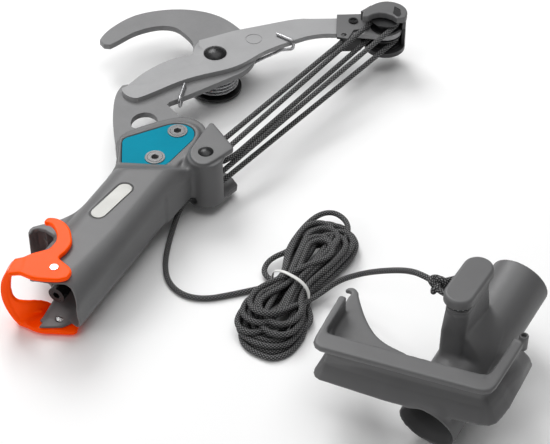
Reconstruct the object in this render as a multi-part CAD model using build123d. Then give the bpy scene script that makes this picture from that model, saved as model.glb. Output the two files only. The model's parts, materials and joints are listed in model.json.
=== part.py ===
from build123d import *
import os
import math

os.makedirs("parts", exist_ok=True)

# ---------------------------------------------------------------------------
# Rope-operated bypass lopper head for a pole, with its pull cord and handle.
# +Z up, +Y from the pole socket towards the blades, millimetres.
# The origin is the outer end of the locking stud in the socket mouth; the
# outlines below are drawn from a layout datum 3 mm behind it.
# ---------------------------------------------------------------------------
DATUM_Y = -3.0            # layout datum to part origin
FLOOR = -31.0             # surface that the parts lie on

PLATE_T = 5.0             # hook plate thickness (z -2.5 .. 2.5)
BLADE_Z0 = 2.55           # underside of blade and lever
BLADE_T = 4.5             # blade and lever thickness
PIVOT = (-31.0, 307.0)    # blade pivot
PIVOT_R = 5.0
SHEAVE_AX = (83.0, 407.0)  # axle of the two lever sheaves
GUIDE_AX = (33.0, 172.0)   # axle of the three guide rollers
BARREL_W = 27.0           # barrel half width
BARREL_H = 25.0           # barrel half height
BARREL_R = 22.0           # barrel corner radius, lower edges and upper left
BARREL_R2 = 20.0          # upper right corner at the mouth
BARREL_R3 = 13.5          # and towards the neck
SOCKET_R = 20.1           # socket cavity radius
STUD_R = 6.5
ROPE_D = 4.3
ROPE_R = ROPE_D / 2
GUIDE_ROPE_R = 5.0        # rope centre radius round the guide rollers
SHEAVE_ROPE_R = 10.0      # rope centre radius round the lever sheaves
Z_G1, Z_G2, Z_G3 = 13.4, -1.95, -14.0    # guide roller heights
Z_S1, Z_S2 = 12.3, -4.1   # lever sheave heights
LATCH_PIN = (1.5, 2.5)
LATCH_Z = 25.3            # inner face of the latch arms
LATCH_T = 4.0
SLEEVE_R = 22.0           # handle sleeve outer radius at the top
SLEEVE_R_LOW = 21.2       # and at the low end
SLEEVE_BORE = 19.0
SLEEVE_L = 136.0
SLEEVE_LOW = (286.0, 14.5, -9.6)
SLEEVE_AZ = 6.9           # degrees from +Y towards +X
SLEEVE_INC = 13.4         # degrees above the floor plane
FRAME_Z0, FRAME_Z1 = 7.0, 40.0

VOL = {}


def poly(pts, z0, z1):
    """Closed straight-sided outline extruded between two heights."""
    with BuildPart() as p:
        with BuildSketch(Plane.XY.offset(z0)):
            with BuildLine():
                Polyline(*[(x, y) for x, y in pts], close=True)
            make_face()
        extrude(amount=z1 - z0)
    return p.part


def outline(segs, z0, z1):
    """Outline of straight ('l') and smooth ('s') segments, each a list of
    points that starts where the one before ends."""
    with BuildPart() as p:
        with BuildSketch(Plane.XY.offset(z0)):
            with BuildLine():
                for kind, pts in segs:
                    if kind == "l":
                        Polyline(*pts)
                    else:
                        Spline(*pts)
            make_face()
        extrude(amount=z1 - z0)
    return p.part


def cyl(x, y, z0, z1, r):
    return Pos(x, y, (z0 + z1) / 2) * Cylinder(r, z1 - z0)


def box(x0, x1, y0, y1, z0, z1):
    return Pos((x0 + x1) / 2, (y0 + y1) / 2, (z0 + z1) / 2) * Box(x1 - x0, y1 - y0, z1 - z0)


def tube(pts, r, radii=None, fr=None):
    """Round rod along straight runs joined by tangent arcs."""
    if len(pts) > 2:
        if radii is None:
            radii = []
            for i in range(1, len(pts) - 1):
                a, b, c = Vector(*pts[i - 1]), Vector(*pts[i]), Vector(*pts[i + 1])
                u, v = (b - a), (c - b)
                turn = math.radians(u.get_angle(v))
                radii.append(0.45 * min(u.length, v.length) / max(math.tan(turn / 2), 0.02))
        path = FilletPolyline(*pts, radius=radii) if len(set(radii)) > 1 else FilletPolyline(*pts, radius=radii[0])
    else:
        path = Line(*pts)
    d = path % 0
    prof = Plane(origin=path @ 0, z_dir=d) * Circle(r)
    s = sweep(prof, path=path)
    return s, path, radii


def fil(part, edges, r):
    try:
        return fillet(edges, r)
    except Exception:
        print("fillet skipped", r)
        return part


def save(name, shape):
    shape = Pos(0, DATUM_Y, 0) * shape
    solids = shape.solids()
    if len(solids) == 1:
        out = solids[0]
    else:
        out = Compound(children=list(solids))
    VOL[name] = sum(s.volume for s in solids)
    export_step(out, f"parts/{name}.step")


# ---------------------------------------------------------------------------
# Steel hook plate (fixed counter-blade)
# ---------------------------------------------------------------------------
hook = outline([
    ("s", [(-132, 285), (-133, 297), (-130, 314), (-124, 329), (-111, 344), (-95, 355),
           (-77, 361.5), (-55, 362), (-31, 353), (-10, 338), (0, 320), (0, 303), (-4, 293)]),
    ("l", [(-4, 293), (-23, 258), (-31, 244), (-36, 236), (-36, 232), (-19, 223), (-4, 213),
           (8, 206), (8, 146), (-26, 146)]),
    ("s", [(-26, 146), (-32, 150), (-48, 169), (-62, 189), (-73, 208), (-80, 224), (-82, 238)]),
    ("l", [(-82, 238), (-79, 241)]),
    ("s", [(-79, 241), (-73, 247), (-70, 259), (-66, 271), (-60, 284), (-53.5, 294), (-50.5, 303)]),
    ("l", [(-50.5, 303), (-55, 312)]),
    ("s", [(-55, 312), (-59, 318), (-71, 326), (-81, 330), (-93, 328), (-104, 319),
           (-112, 307), (-118, 290), (-121, 283)]),
    ("l", [(-121, 283), (-126, 281.5), (-132, 285)]),
], -PLATE_T / 2, PLATE_T / 2)
dhole = outline([("s", [(-50.5, 198), (-52.5, 204), (-51, 211), (-46, 215.5), (-39, 215.5),
                        (-32, 209), (-32, 202), (-39, 195.5), (-46, 193.5), (-50.5, 198)])],
                -PLATE_T, PLATE_T)
hook = hook - dhole - cyl(*PIVOT, -4, 4, PIVOT_R + 0.05)
SCREWS = [(-4.0, 193.0), (-4.0, 156.5)]
for sx, sy in SCREWS:
    hook = hook - cyl(sx, sy, -4, 4, 3.05)
save("hook_plate", hook)

# ---------------------------------------------------------------------------
# Blade and lever, one plate
# ---------------------------------------------------------------------------
B0, B1 = BLADE_Z0, BLADE_Z0 + BLADE_T
def sampled(pts, n):
    sp = Spline(*pts)
    return [((sp @ (i / n)).X, (sp @ (i / n)).Y) for i in range(n + 1)]


def ring_face(pts, z):
    return Face(Wire.make_polygon([Vector(x, y, z) for x, y in pts], close=True))


EDGE = sampled([(-50, 301), (-56, 295), (-63, 286), (-70, 272), (-74, 260), (-76.5, 246), (-78, 233)], 18)
TIP = sampled([(-78, 233), (-76, 227.5), (-71, 224), (-65, 222.5), (-60, 223.5), (-57, 227)], 8)
BELLY = sampled([(-57, 227), (-48, 243), (-38, 261), (-29, 273), (-17, 286), (-8, 297), (-2, 309),
                 (4, 326), (12, 341), (20, 353), (29, 365), (40, 374), (48, 378)], 36)
ROUND_END = sampled([(84, 392.9), (92.5, 396.6), (97, 406.5), (94, 416.5), (86, 421), (76, 419.5)], 16)
BACK = sampled([(20, 389), (9, 383), (-3, 372), (-12, 363), (-28, 347), (-32, 343)], 10)
BEVEL = sampled([(-37, 303), (-35.5, 292), (-36.5, 285), (-45, 276), (-49, 267), (-52, 256), (-58, 246.5), (-74, 236)], 18)
full = [(-54, 319), (-53, 311), (-51, 305)] + EDGE + TIP[1:] + BELLY[1:] + [(66.5, 387.2)] + ROUND_END + [(39, 399)] + BACK
flat = [(-52, 317.5), (-48.5, 311), (-42, 307)] + BEVEL + TIP[1:] + BELLY[1:] + [(66.5, 387.2)] + ROUND_END + [(39, 399)] + BACK
assert len(full) == len(flat)
Z_EDGE = B0 + 1.0
lower_slab = extrude(ring_face(full, B0), Z_EDGE - B0 + 0.001, dir=(0, 0, 1))
w_lo = Wire.make_polygon([Vector(x, y, Z_EDGE) for x, y in full], close=True)
w_hi = Wire.make_polygon([Vector(x, y, B1) for x, y in flat], close=True)
upper_slab = Solid.make_loft([w_lo, w_hi], True)
blade = lower_slab + upper_slab
print("blade solids", len(blade.solids()), round(blade.volume), blade.is_valid)
blade = blade - cyl(*PIVOT, B0 - 1, B1 + 1, PIVOT_R + 0.05)
blade = blade - cyl(*SHEAVE_AX, B0 - 1, B1 + 1, 3.0)
YOKE_PIN = (56.0, 398.5)
blade = blade - cyl(*YOKE_PIN, B0 - 1, B1 + 1, 3.0)
# stamped index ring on the lever
ring = cyl(-11, 340, B1 - 0.4, B1 + 1, 7.2) - cyl(-11, 340, B1 - 0.5, B1 + 1.1, 6.5)
blade = blade - ring
save("blade_lever", blade)

# ---------------------------------------------------------------------------
# Pivot bolt, spacer bush, washer
# ---------------------------------------------------------------------------
px, py = PIVOT
head = Pos(px, py, B1 + 0.05) * Cylinder(9.8, 2.2, align=(Align.CENTER, Align.CENTER, Align.MIN))
dome_r = 14.0
dome = Pos(px, py, B1 + 0.05 + 4.6 - dome_r) * Sphere(dome_r)
head = Pos(px, py, B1 + 0.05) * Cylinder(9.8, 4.6, align=(Align.CENTER, Align.CENTER, Align.MIN)) & dome
bolt = head + cyl(px, py, -26.65, B1 + 0.3, PIVOT_R)
bolt = bolt + cyl(px, py, FLOOR, -26.6, 7.5)
save("pivot_bolt", bolt)
save("pivot_spacer", cyl(px, py, -26.6, -2.55, 14.5) - cyl(px, py, -30, 0, PIVOT_R + 0.01)
     )
rim = cyl(px, py, -29.0, -26.65, 22.0) - cyl(px, py, -30, -26, 7.55)
save("spring_washer", rim)

# ---------------------------------------------------------------------------
# Torsion spring under the plates, with its two hooked legs
# ---------------------------------------------------------------------------
WIRE_R = 1.4
COIL_R = 18.0
PITCH = 3.3
TOP_ANG = 197.0           # where the upper leg leaves the coil
BOT_ANG = 108.9           # where the lower leg leaves the coil
TURNS = 6 + (TOP_ANG - BOT_ANG) / 360
z_top = -4.15
z_bot = z_top - PITCH * TURNS
helix = Helix(pitch=PITCH, height=PITCH * TURNS, radius=COIL_R)
hp = helix @ 0
coil = sweep(Plane(origin=hp, z_dir=helix % 0) * Circle(WIRE_R), path=helix, is_frenet=True)
coil = Pos(px, py, z_bot) * Rot(0, 0, BOT_ANG) * coil


def on_coil(ang, z, r=COIL_R):
    return (px + r * math.cos(math.radians(ang)), py + r * math.sin(math.radians(ang)), z)


topP = on_coil(TOP_ANG, z_top)
botP = on_coil(BOT_ANG, z_bot)
UPPER_LEG = [topP, (-29.6, 241.4, -4.25), (-28.9, 239.6, 4.35), (-35.0, 260.5, 4.35)]
LOWER_LEG = [on_coil(BOT_ANG - 0.3, z_bot), (-22.0, 329.1, -24.4), (-3.0, 333.6, -8.4), (13.0, 345.4, -0.1),
             (21.2, 351.0, -0.1), (22.0, 350.4, 8.75), (4.6, 353.4, 8.75)]
leg1, _, _ = tube(UPPER_LEG, WIRE_R, radii=[3.2, 3.2])
spring = coil + Pos(*topP) * Sphere(WIRE_R) + leg1
leg2, _, _ = tube(LOWER_LEG, WIRE_R, radii=[6, 6, 5, 2.6, 2.6])
print("spring solids", len(spring.solids()), "leg", len(leg2.solids()))
save("spring_leg", leg2 - coil)
save("torsion_spring", spring)

# ---------------------------------------------------------------------------
# Housing: barrel, flared clamp wing, flattened head
# ---------------------------------------------------------------------------


def section(y, w, h, r_top_right, r_rest):
    """Barrel cross-section with its own radius on the upper right corner."""
    sk = Rectangle(2 * w, 2 * h)
    tr = [v for v in sk.vertices() if v.X > 0 and v.Y < 0]
    rest = [v for v in sk.vertices() if not (v.X > 0 and v.Y < 0)]
    sk = fillet(rest, r_rest)
    tr = [v for v in sk.vertices() if abs(v.X - w) < 1e-6 and abs(v.Y + h) < 1e-6]
    sk = fillet(tr, r_top_right)
    return Plane(origin=(0, y, 0), x_dir=(1, 0, 0), z_dir=(0, 1, 0)) * sk


barrel = loft([section(-17, BARREL_W, BARREL_H, BARREL_R2, BARREL_R), section(60, BARREL_W, BARREL_H, BARREL_R3, BARREL_R - 0.5)])
barrel = barrel + loft([section(60, BARREL_W, BARREL_H, BARREL_R3, BARREL_R - 0.5), section(160, BARREL_W, BARREL_H, BARREL_R3 - 0.5, BARREL_R - 1.5)])
# upper end slants down to the inlay, lower end rises under the head
END_UP = Vector(-0.312, 0.649, 0.694).normalized()
END_LOW = Vector(0, 0.78, -0.62).normalized()
barrel = barrel - Plane(origin=(-13.7, 124.6, 25.0), z_dir=END_UP) * Box(260, 260, 120, align=(Align.CENTER, Align.CENTER, Align.MIN))
barrel = barrel - Plane(origin=(0, 151.0, -25.0), z_dir=END_LOW) * Box(260, 260, 120, align=(Align.CENTER, Align.CENTER, Align.MIN))
head_slab = outline([
    ("l", [(-31, 146), (-36, 151)]),
    ("s", [(-36, 151), (-41.5, 159), (-44, 168), (-42, 177)]),
    ("s", [(-42, 177), (-36, 187), (-27, 199), (-19, 208)]),
    ("s", [(-19, 208), (-11, 214), (-1, 215.5), (8, 213), (16, 206), (22, 196)]),
    ("l", [(22, 196), (27, 184), (28, 150), (26, 122), (-24, 122), (-27, 138), (-31, 146)]),
], -12.5, 12.5)
head_slab = fil(head_slab, head_slab.edges().group_by(Axis.Z)[-1] + head_slab.edges().group_by(Axis.Z)[0], 2.2)
wing_out = [(-14, 92), (-22, 83), (-25.5, 76), (-29, 70), (-32.5, 63.5), (-37.5, 57.0), (-43.5, 51), (-46.8, 47.2),
            (-47.4, 44.2), (-46.6, 40.8), (-44.9, 38.2), (-43.9, 40.6), (-44.5, 44.2), (-41.5, 47.2), (-36, 47.8), (-26, 45), (-14, 40)]
wing = poly(wing_out, -13, 13)
housing = barrel + head_slab + wing
# socket cavity, open at the mouth
housing = housing - Pos(0, 24.5, 0) * Rot(90, 0, 0) * Cylinder(SOCKET_R, 83.2)
# side opening of the mouth, left of the lips
housing = housing - poly([(-70, -30), (-10.9, -30), (-10.9, 14), (-20, 24.5), (-70, 24.5)], -60, 60)
# lips trimmed to their slanted front edges
housing = housing - poly([(-70, -40), (60, -40), (60, -1.5), (25, -4.5), (14, 0.2), (2.8, -9.5), (-8, -12.5), (-13, -12),
                          (-70, -11)], 0, 60)
housing = housing - poly([(-70, -40), (60, -40), (60, 10), (30, 8), (12, 2.6), (7, -3.9), (-8, -11.5), (-14.6, -10.7),
                          (-70, -10)], -60, 0)
# the cavity widens towards the mouth, which leaves thin lips
housing = housing - Pos(0, 12, 0) * Rot(90, 0, 0) * Cone(SOCKET_R, SOCKET_R + 3.6, 26, align=(Align.CENTER, Align.CENTER, Align.MIN))
# hollow of the wing, open forwards
wing_in = [(-17, 77), (-22, 73), (-28.5, 64.5), (-35, 56), (-41, 50), (-43.4, 47.2), (-43.4, 20), (-24, 20), (-24, 62), (-17, 68)]
housing = housing - poly(wing_in, -10, 10)
# slot for the hook plate
slot = poly([(-60, 144), (9, 144), (9, 208), (30, 230), (-60, 240)], -PLATE_T / 2 - 0.02, PLATE_T / 2 + 0.02)
housing = housing - slot
# recess of the coloured inlay
inlay_pts = [(-35.5, 161), (-36.5, 166), (-34.5, 170), (-16, 194.5), (-10, 200), (-2, 202.5), (5, 201),
             (9, 196), (11.5, 187), (8.5, 157), (6.5, 151.5), (2, 149), (-19, 137.5), (-24, 139)]
inlay_seg = [("l", [(-24, 139.5), (-35.5, 160)]), ("s", [(-35.5, 160), (-37, 165), (-34.5, 170)]),
             ("l", [(-34.5, 170), (-16, 194.5)]),
             ("s", [(-16, 194.5), (-10, 200), (-2, 202.5), (5.5, 200.5), (10, 195), (11.5, 187)]),
             ("l", [(11.5, 187), (8.5, 157)]), ("s", [(8.5, 157), (6.5, 151.5), (1, 149.5)]),
             ("l", [(1, 149.5), (-24, 139.5)])]
INLAY_Z = 14.2
pocket = outline(inlay_seg, 11.7, 30)
pad = outline(inlay_seg, 9, INLAY_Z + 0.4)
# raised land round the inlay, blended into the head
land_seg = [("l", [(-26, 136.5), (-39, 160)]), ("s", [(-39, 160), (-41, 166), (-38, 172)]),
            ("l", [(-38, 172), (-18.5, 197.5)]),
            ("s", [(-18.5, 197.5), (-11, 204), (-2, 207), (7.5, 205), (14, 198), (15.5, 187)]),
            ("l", [(15.5, 187), (13, 152), (10, 140), (-26, 136.5)])]
land = outline(land_seg, 5, INLAY_Z + 0.4)
land = fil(land, land.edges().group_by(Axis.Z)[-1], 1.2)
housing = housing + land
housing = housing - pocket
# head is solid under the inlay: bores for the two screws, hex pockets below
for sx, sy in SCREWS:
    housing = housing - cyl(sx, sy, -30, 30, 3.05)
    housing = housing - cyl(sx, sy, -30, -10.0, 6.2)
# badge recess on top of the barrel
BADGE_A, BADGE_B, BADGE_W = (-3.4, 71.5), (0.2, 103.6), 6.6


def pill(a, b, r, z0, z1):
    dx, dy = b[0] - a[0], b[1] - a[1]
    L = math.hypot(dx, dy)
    ang = math.degrees(math.atan2(dy, dx))
    s = Pos((a[0] + b[0]) / 2, (a[1] + b[1]) / 2, z0) * Rot(0, 0, ang) * SlotOverall(L + 2 * r, 2 * r)
    return extrude(s, z1 - z0)


badge_cut = pill(BADGE_A, BADGE_B, BADGE_W, BARREL_H - 1.3, BARREL_H + 5)
housing = housing - badge_cut
# bulkhead that carries the locking stud, and the seat for the guide block
housing = housing - cyl(33.6, 170.7, -40, 40, 15.2)
gb_cut = poly([(28.5, 150), (60, 150), (60, 210), (19.5, 210), (20.3, 190), (26, 186)], -40, 40)
housing = housing - gb_cut
stud_hole = Pos(0, 66 + 10, 0) * Rot(90, 0, 0) * Cylinder(4.0, 20)
housing = housing - stud_hole
# pin bores in the lips
housing = housing - cyl(*LATCH_PIN, 22.5, 40, 3.0) - cyl(*LATCH_PIN, -40, -22.5, 3.0)
print("housing solids", len(housing.solids()), [round(s.volume) for s in housing.solids()])
housing_main = max(housing.solids(), key=lambda s: s.volume)
save("housing", housing_main)

stud = Pos(0, 3 + 31.5, 0) * Rot(90, 0, 0) * Cylinder(STUD_R, 63)
stud = stud + Pos(0, 66 + 9, 0) * Rot(90, 0, 0) * Cylinder(4.0, 18)
hexcut = extrude(Plane(origin=(0, 2, 0), x_dir=(1, 0, 0), z_dir=(0, 1, 0)) * RegularPolygon(2.9, 6, major_radius=True), 7)
stud = stud - hexcut
save("locking_stud", stud)

inlay = outline(inlay_seg, 11.7, INLAY_Z)
inlay_in = inlay
for sx, sy in SCREWS:
    inlay = inlay - cyl(sx, sy, 5, 20, 8.0)
save("inlay_plate", inlay)

save("badge_plate", pill((-3.3, 71.8), (0.15, 103.3), BADGE_W - 0.9, BARREL_H - 1.3, BARREL_H - 0.35))

wash = None
for sx, sy in SCREWS:
    w = cyl(sx, sy, 11.7, 14.9, 7.9) - cyl(sx, sy, 10, 20, 3.05)
    w = w - (cyl(sx, sy, 13.3, 20, 6.1))
    wash = w if wash is None else wash + w
save("screw_washers", wash)
scr = None
for sx, sy in SCREWS:
    h = cyl(sx, sy, 13.3, 15.0, 5.8)
    h = h + cyl(sx, sy, -12.3, 13.4, 3.0)
    h = h - extrude(Pos(sx, sy, 11.6) * RegularPolygon(3.3, 6, major_radius=True), 6)
    scr = h if scr is None else scr + h
save("clamp_screws", scr)
nuts = None
for sx, sy in SCREWS:
    n = extrude(Pos(sx, sy, -14.0) * RegularPolygon(5.6, 6, major_radius=True), 4.0) - cyl(sx, sy, -20, 0, 3.01)
    nuts = n if nuts is None else nuts + n
save("clamp_nuts", nuts)

# ---------------------------------------------------------------------------
# Rope guide block: rounded tower with a roller slot, open towards the lever
# ---------------------------------------------------------------------------
gx, gy = GUIDE_AX
TOWER_AX = (33.6, 170.7)
TOWER_R = 15.1
tower = cyl(*TOWER_AX, -23, 20.2, TOWER_R)
tower = fil(tower, tower.edges().group_by(Axis.Z)[-1], 1.6)
top_wing = outline([
    ("l", [(20.4, 171.8), (18.8, 197.0), (18.6, 204.6), (19.6, 206.4), (21.4, 206.4), (48.9, 187.6), (49.9, 185.4),
           (49.4, 183.0), (43.9, 166.0)]),
    ("s", [(43.9, 166.0), (41.2, 160.2), (37.0, 157.3), (31.6, 157.5), (26.4, 160.6), (22.0, 166.2), (20.4, 171.8)])], 17.4, 22.3)
top_wing = fil(top_wing, top_wing.edges().group_by(Axis.Z)[-1], 0.8)
bot_wing = poly([(20.5, 190), (24, 199.5), (38.5, 199.2), (50.0, 191.2), (51.6, 187.5), (47.6, 170.0), (33, 157)], -23, -18.4)
back_wall = poly([(19.5, 178), (22.2, 178), (22.4, 194), (21.6, 205), (19.5, 205)], -23, 20)
guide = tower + bot_wing + back_wall
guide = guide - cyl(gx, gy, -18.4, 17.4, 11.5)
guide = guide - poly([(22.6, 178), (30, 173.5), (47.6, 171.6), (80, 190), (70, 230), (0, 230), (19.0, 206), (22.6, 205)],
                     -18.4, 17.4)
guide = guide + top_wing
guide = guide - cyl(gx, gy, -40, 40, 2.0)
# exit passage for the pull cord, low at the front
nv0 = Vector(SHEAVE_AX[1] - gy, -(SHEAVE_AX[0] - gx), 0).normalized()
base_a = math.degrees(math.atan2(nv0.Y, nv0.X))
W3_TURN = 41.0
a_end = math.radians(base_a - W3_TURN)
w3_end = (gx + GUIDE_ROPE_R * math.cos(a_end), gy + GUIDE_ROPE_R * math.sin(a_end), Z_G3)
CZ = FLOOR + ROPE_R + 0.05
LEAD = [w3_end, (28.0, 160.6, -14.4), (22.5, 149.0, -18.5), (25.5, 131.0, -24.0), (31.0, 111.0, CZ + 1.2), (38.5, 92.5, CZ),
        (50.0, 76.5, CZ), (67.0, 69.0, CZ), (84.0, 73.0, CZ), (99.0, 86.0, CZ), (113.5, 99.5, CZ + 1.0)]
lead, lpath, lrad = tube(LEAD, ROPE_R)
passage, _, _ = tube([w3_end, LEAD[1], tuple(Vector(*LEAD[1]) + (Vector(*LEAD[2]) - Vector(*LEAD[1])) * 0.8)], 2.75,
                     radii=[min(lrad[0], 20.0)])
guide = guide - passage
groove, _, _ = tube([w3_end, LEAD[1], LEAD[2], LEAD[3]], 2.6, radii=[min(lrad[0], 20.0), lrad[1]])
housing_main = max((housing_main - groove).solids(), key=lambda q: q.volume)
save("housing", housing_main)
housing_for_cut = housing_main
guide = guide - housing_for_cut
print("guide solids", len(guide.solids()), [round(s.volume) for s in guide.solids()])
guide = max(guide.solids(), key=lambda s: s.volume)
save("rope_guide_block", guide)

rivet = cyl(gx, gy, -23.0, 22.5, 1.95)
rivet = rivet + (cyl(gx, gy, 22.35, 26.0, 6.8) & (Pos(gx, gy, 24.6 - 9.5) * Sphere(9.5)))
rivet = rivet + cyl(gx, gy, -24.2, -23.0, 5.0)
save("guide_rivet", rivet)


def roller(zc, half, flange, core, bore, fl_t):
    r = cyl(gx, gy, zc - half, zc + half, flange) - cyl(gx, gy, zc - half - 1, zc + half + 1, bore)
    ringcut = cyl(gx, gy, zc - half + fl_t, zc + half - fl_t, flange + 1) - cyl(gx, gy, zc - half, zc + half, core)
    return r - ringcut


save("guide_roller_top", roller(Z_G1, 3.9, 9.4, 2.75, 2.0, 1.0))
save("guide_roller_mid", roller(Z_G2, 6.05, 9.4, 2.75, 2.0, 1.0))
save("guide_roller_low", roller(Z_G3, 3.9, 9.4, 2.75, 2.0, 1.0))


def spacer(z0, z1):
    return cyl(gx, gy, z0, z1, 4.0) - cyl(gx, gy, z0 - 1, z1 + 1, 2.0)


save("guide_spacers", spacer(Z_G2 + 6.1, Z_G1 - 3.95) + spacer(Z_G3 + 3.95, Z_G2 - 6.1))

# ---------------------------------------------------------------------------
# Sheave block on the lever end
# ---------------------------------------------------------------------------
sx0, sy0 = SHEAVE_AX


def ring_sector(cx, cy, r0, r1, a0, a1, z0, z1):
    n = 24
    pts = []
    for i in range(n + 1):
        a = math.radians(a0 + (a1 - a0) * i / n)
        pts.append((cx + (r1 + 8) * math.cos(a), cy + (r1 + 8) * math.sin(a)))
    wedge = poly([(cx, cy)] + pts, z0, z1)
    return (cyl(cx, cy, z0, z1, r1) - cyl(cx, cy, z0 - 1, z1 + 1, r0)) & wedge


cap = outline([
    ("s", [(68.4, 390.8), (65.8, 397), (66.6, 406), (70.6, 415.2), (77.0, 421.0), (86.6, 422.8), (95.6, 419.2),
           (100.6, 411.5), (101.0, 405.4)]),
    ("l", [(101.0, 405.4), (95.6, 401.2), (90.6, 403.4), (84.2, 404.2), (78.5, 402.5), (74.6, 398.6), (72.2, 393.0),
           (68.4, 390.8)])], 18.2, 23.6)
capf = fil(cap, cap.edges().group_by(Axis.Z)[-1], 1.2)
capf = capf - poly([(86.5, 416.8), (92.8, 414.4), (96.3, 408.7), (96.4, 404.0), (93.4, 403.8), (89.4, 406.5)], 22.6, 25)
yoke_top = poly([(39.0, 401.5), (58.0, 412.0), (70.5, 418.6), (70.0, 394.0), (61.5, 387.5), (62.5, 373.5),
                 (53.0, 371.5), (49.5, 377.5)], B1 + 0.35, 9.6)
riser = poly([(60.5, 404), (64.5, 415.5), (71.0, 418.6), (73.5, 419.8), (69.6, 411.5), (66.2, 403.5)], B1 + 0.35, 18.3)
wall = ring_sector(sx0, sy0, 15.0, 17.6, 6, 160, -13.4, 18.4)
bottom = cyl(sx0, sy0, -13.4, -9.0, 17.6)
left_wall = poly([(52.0, 382.5), (60.0, 387.0), (66.8, 391.5), (66.8, 402.5), (62.5, 404.0), (50.5, 390.0)], -13.4, -0.8)
left_wall = left_wall - cyl(*YOKE_PIN, -14, -1.0, 6.0)
yoke_bot = poly([(43.0, 399.0), (58.0, 408.5), (70.5, 415.5), (70.0, 394.0), (60.0, 388.0), (51.0, 384.0)], -1.2, B0 - 0.35)
riser_b = poly([(60.5, 404), (64.5, 412.0), (71.0, 416.0), (73.0, 418.5), (69.6, 411.5), (66.2, 403.5)], -13.4, B0 - 0.35)
block = capf + yoke_top + riser + wall + bottom + yoke_bot + riser_b + left_wall
block = block - cyl(sx0, sy0, -8.95, 18.15, 14.9)
block = block - cyl(sx0, sy0, -40, 21.05, 3.0) - cyl(*YOKE_PIN, -40, 40, 3.0)
block = block - cyl(57.0, 377.0, 0, 20, 2.3)
blade_pocket = outline([
    ("l", [(30, 366), (48, 378), (66.5, 387.2), (84, 392.9)]),
    ("s", [(84, 392.9), (92.5, 396.6), (97, 406.5), (94, 416.5), (86, 421), (76, 419.5)]),
    ("l", [(76, 419.5), (39, 399), (20, 389), (30, 366)])], B0 - 0.02, B1 + 0.02)
block = block - blade_pocket
print("block solids", len(block.solids()), [round(s.volume) for s in block.solids()])
block = max(block.solids(), key=lambda s: s.volume)
save("sheave_block", block)

save("block_cap_plug", poly([(86.8, 416.4), (92.6, 414.1), (96.0, 408.6), (96.1, 404.3), (93.5, 404.2), (89.7, 406.7)], 22.6, 23.1))
axle = cyl(sx0, sy0, -14.6, 21.0, 2.98) + cyl(sx0, sy0, -14.6, -13.42, 6.0)
save("block_axle", axle)
ypin = cyl(*YOKE_PIN, -1.4, 9.8, 2.98) + cyl(*YOKE_PIN, 9.62, 11.0, 4.1) + cyl(*YOKE_PIN, -2.4, -1.22, 4.6)
ypin = ypin - extrude(Pos(YOKE_PIN[0], YOKE_PIN[1], 10.2) * RegularPolygon(2.7, 6, major_radius=True), 3)
save("yoke_pin", ypin)


def sheave(zc, half):
    r = cyl(sx0, sy0, zc - half, zc + half, 13.4) - cyl(sx0, sy0, zc - half - 1, zc + half + 1, 3.03)
    g = cyl(sx0, sy0, zc - half + 1.0, zc + half - 1.0, 15) - cyl(sx0, sy0, zc - half, zc + half, SHEAVE_ROPE_R - ROPE_R - 0.1)
    return r - g


save("lever_sheave_top", sheave(Z_S1, 4.3))
save("lever_sheave_low", sheave(Z_S2, 4.3))

# ---------------------------------------------------------------------------
# Rope: five strands between guide and lever, wraps, dead end
# ---------------------------------------------------------------------------
D = Vector(sx0 - gx, sy0 - gy, 0)
SPAN = D.length
dv = D.normalized()
nv = Vector(dv.Y, -dv.X, 0)          # to the right of the run
G = Vector(gx, gy, 0)
S = Vector(sx0, sy0, 0)


def gpt(side, z, r=GUIDE_ROPE_R):
    p = G + nv * (side * r)
    return (p.X, p.Y, z)


def spt(side, z, r=SHEAVE_ROPE_R):
    p = S + nv * (side * r)
    return (p.X, p.Y, z)


zA, zB = Z_G1 - 0.2, Z_G1 + 0.2
zC1, zC2 = 0.7, -4.6
zD = Z_G3
DEAD = (57.0, 377.0)
TRIM = 0.35


def strand(pts, radii=None):
    a, b = Vector(*pts[0]), Vector(*pts[1])
    c, d = Vector(*pts[-2]), Vector(*pts[-1])
    pts = [tuple(a + (b - a).normalized() * TRIM)] + list(pts[1:-1]) + [tuple(d - (d - c).normalized() * TRIM)]
    return tube(pts, ROPE_R, radii=radii)[0]


straA = strand([gpt(-1, zA), (DEAD[0], DEAD[1] - 3.2, 4.3)])
straB = strand([gpt(1, zB), spt(-1, Z_S1 - 0.2)])
straC1 = strand([(28.6, 176.6, zC1), (40.8, 193.0, 1.2), spt(-1, Z_S2)], radii=[18])
straC2 = strand([gpt(1, zC2), spt(1, Z_S1 + 0.2)])
straD = strand([gpt(1, zD), spt(1, Z_S2)])
for nm, s in (("a", straA), ("b", straB), ("c", straC1), ("d", straC2), ("e", straD)):
    save("rope_strand_" + nm, s)
print("span", round(SPAN, 1), "azimuth", round(math.degrees(math.atan2(dv.Y, dv.X)), 2))

def wrap(c, r, a0, a1, z):
    """Rope round a sheave at one height: part of a torus."""
    path = CenterArc((c.X, c.Y, z), r, a0, a1 - a0)
    prof = Plane(origin=path @ 0, z_dir=path % 0) * Circle(ROPE_R)
    return sweep(prof, path=path)


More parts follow.
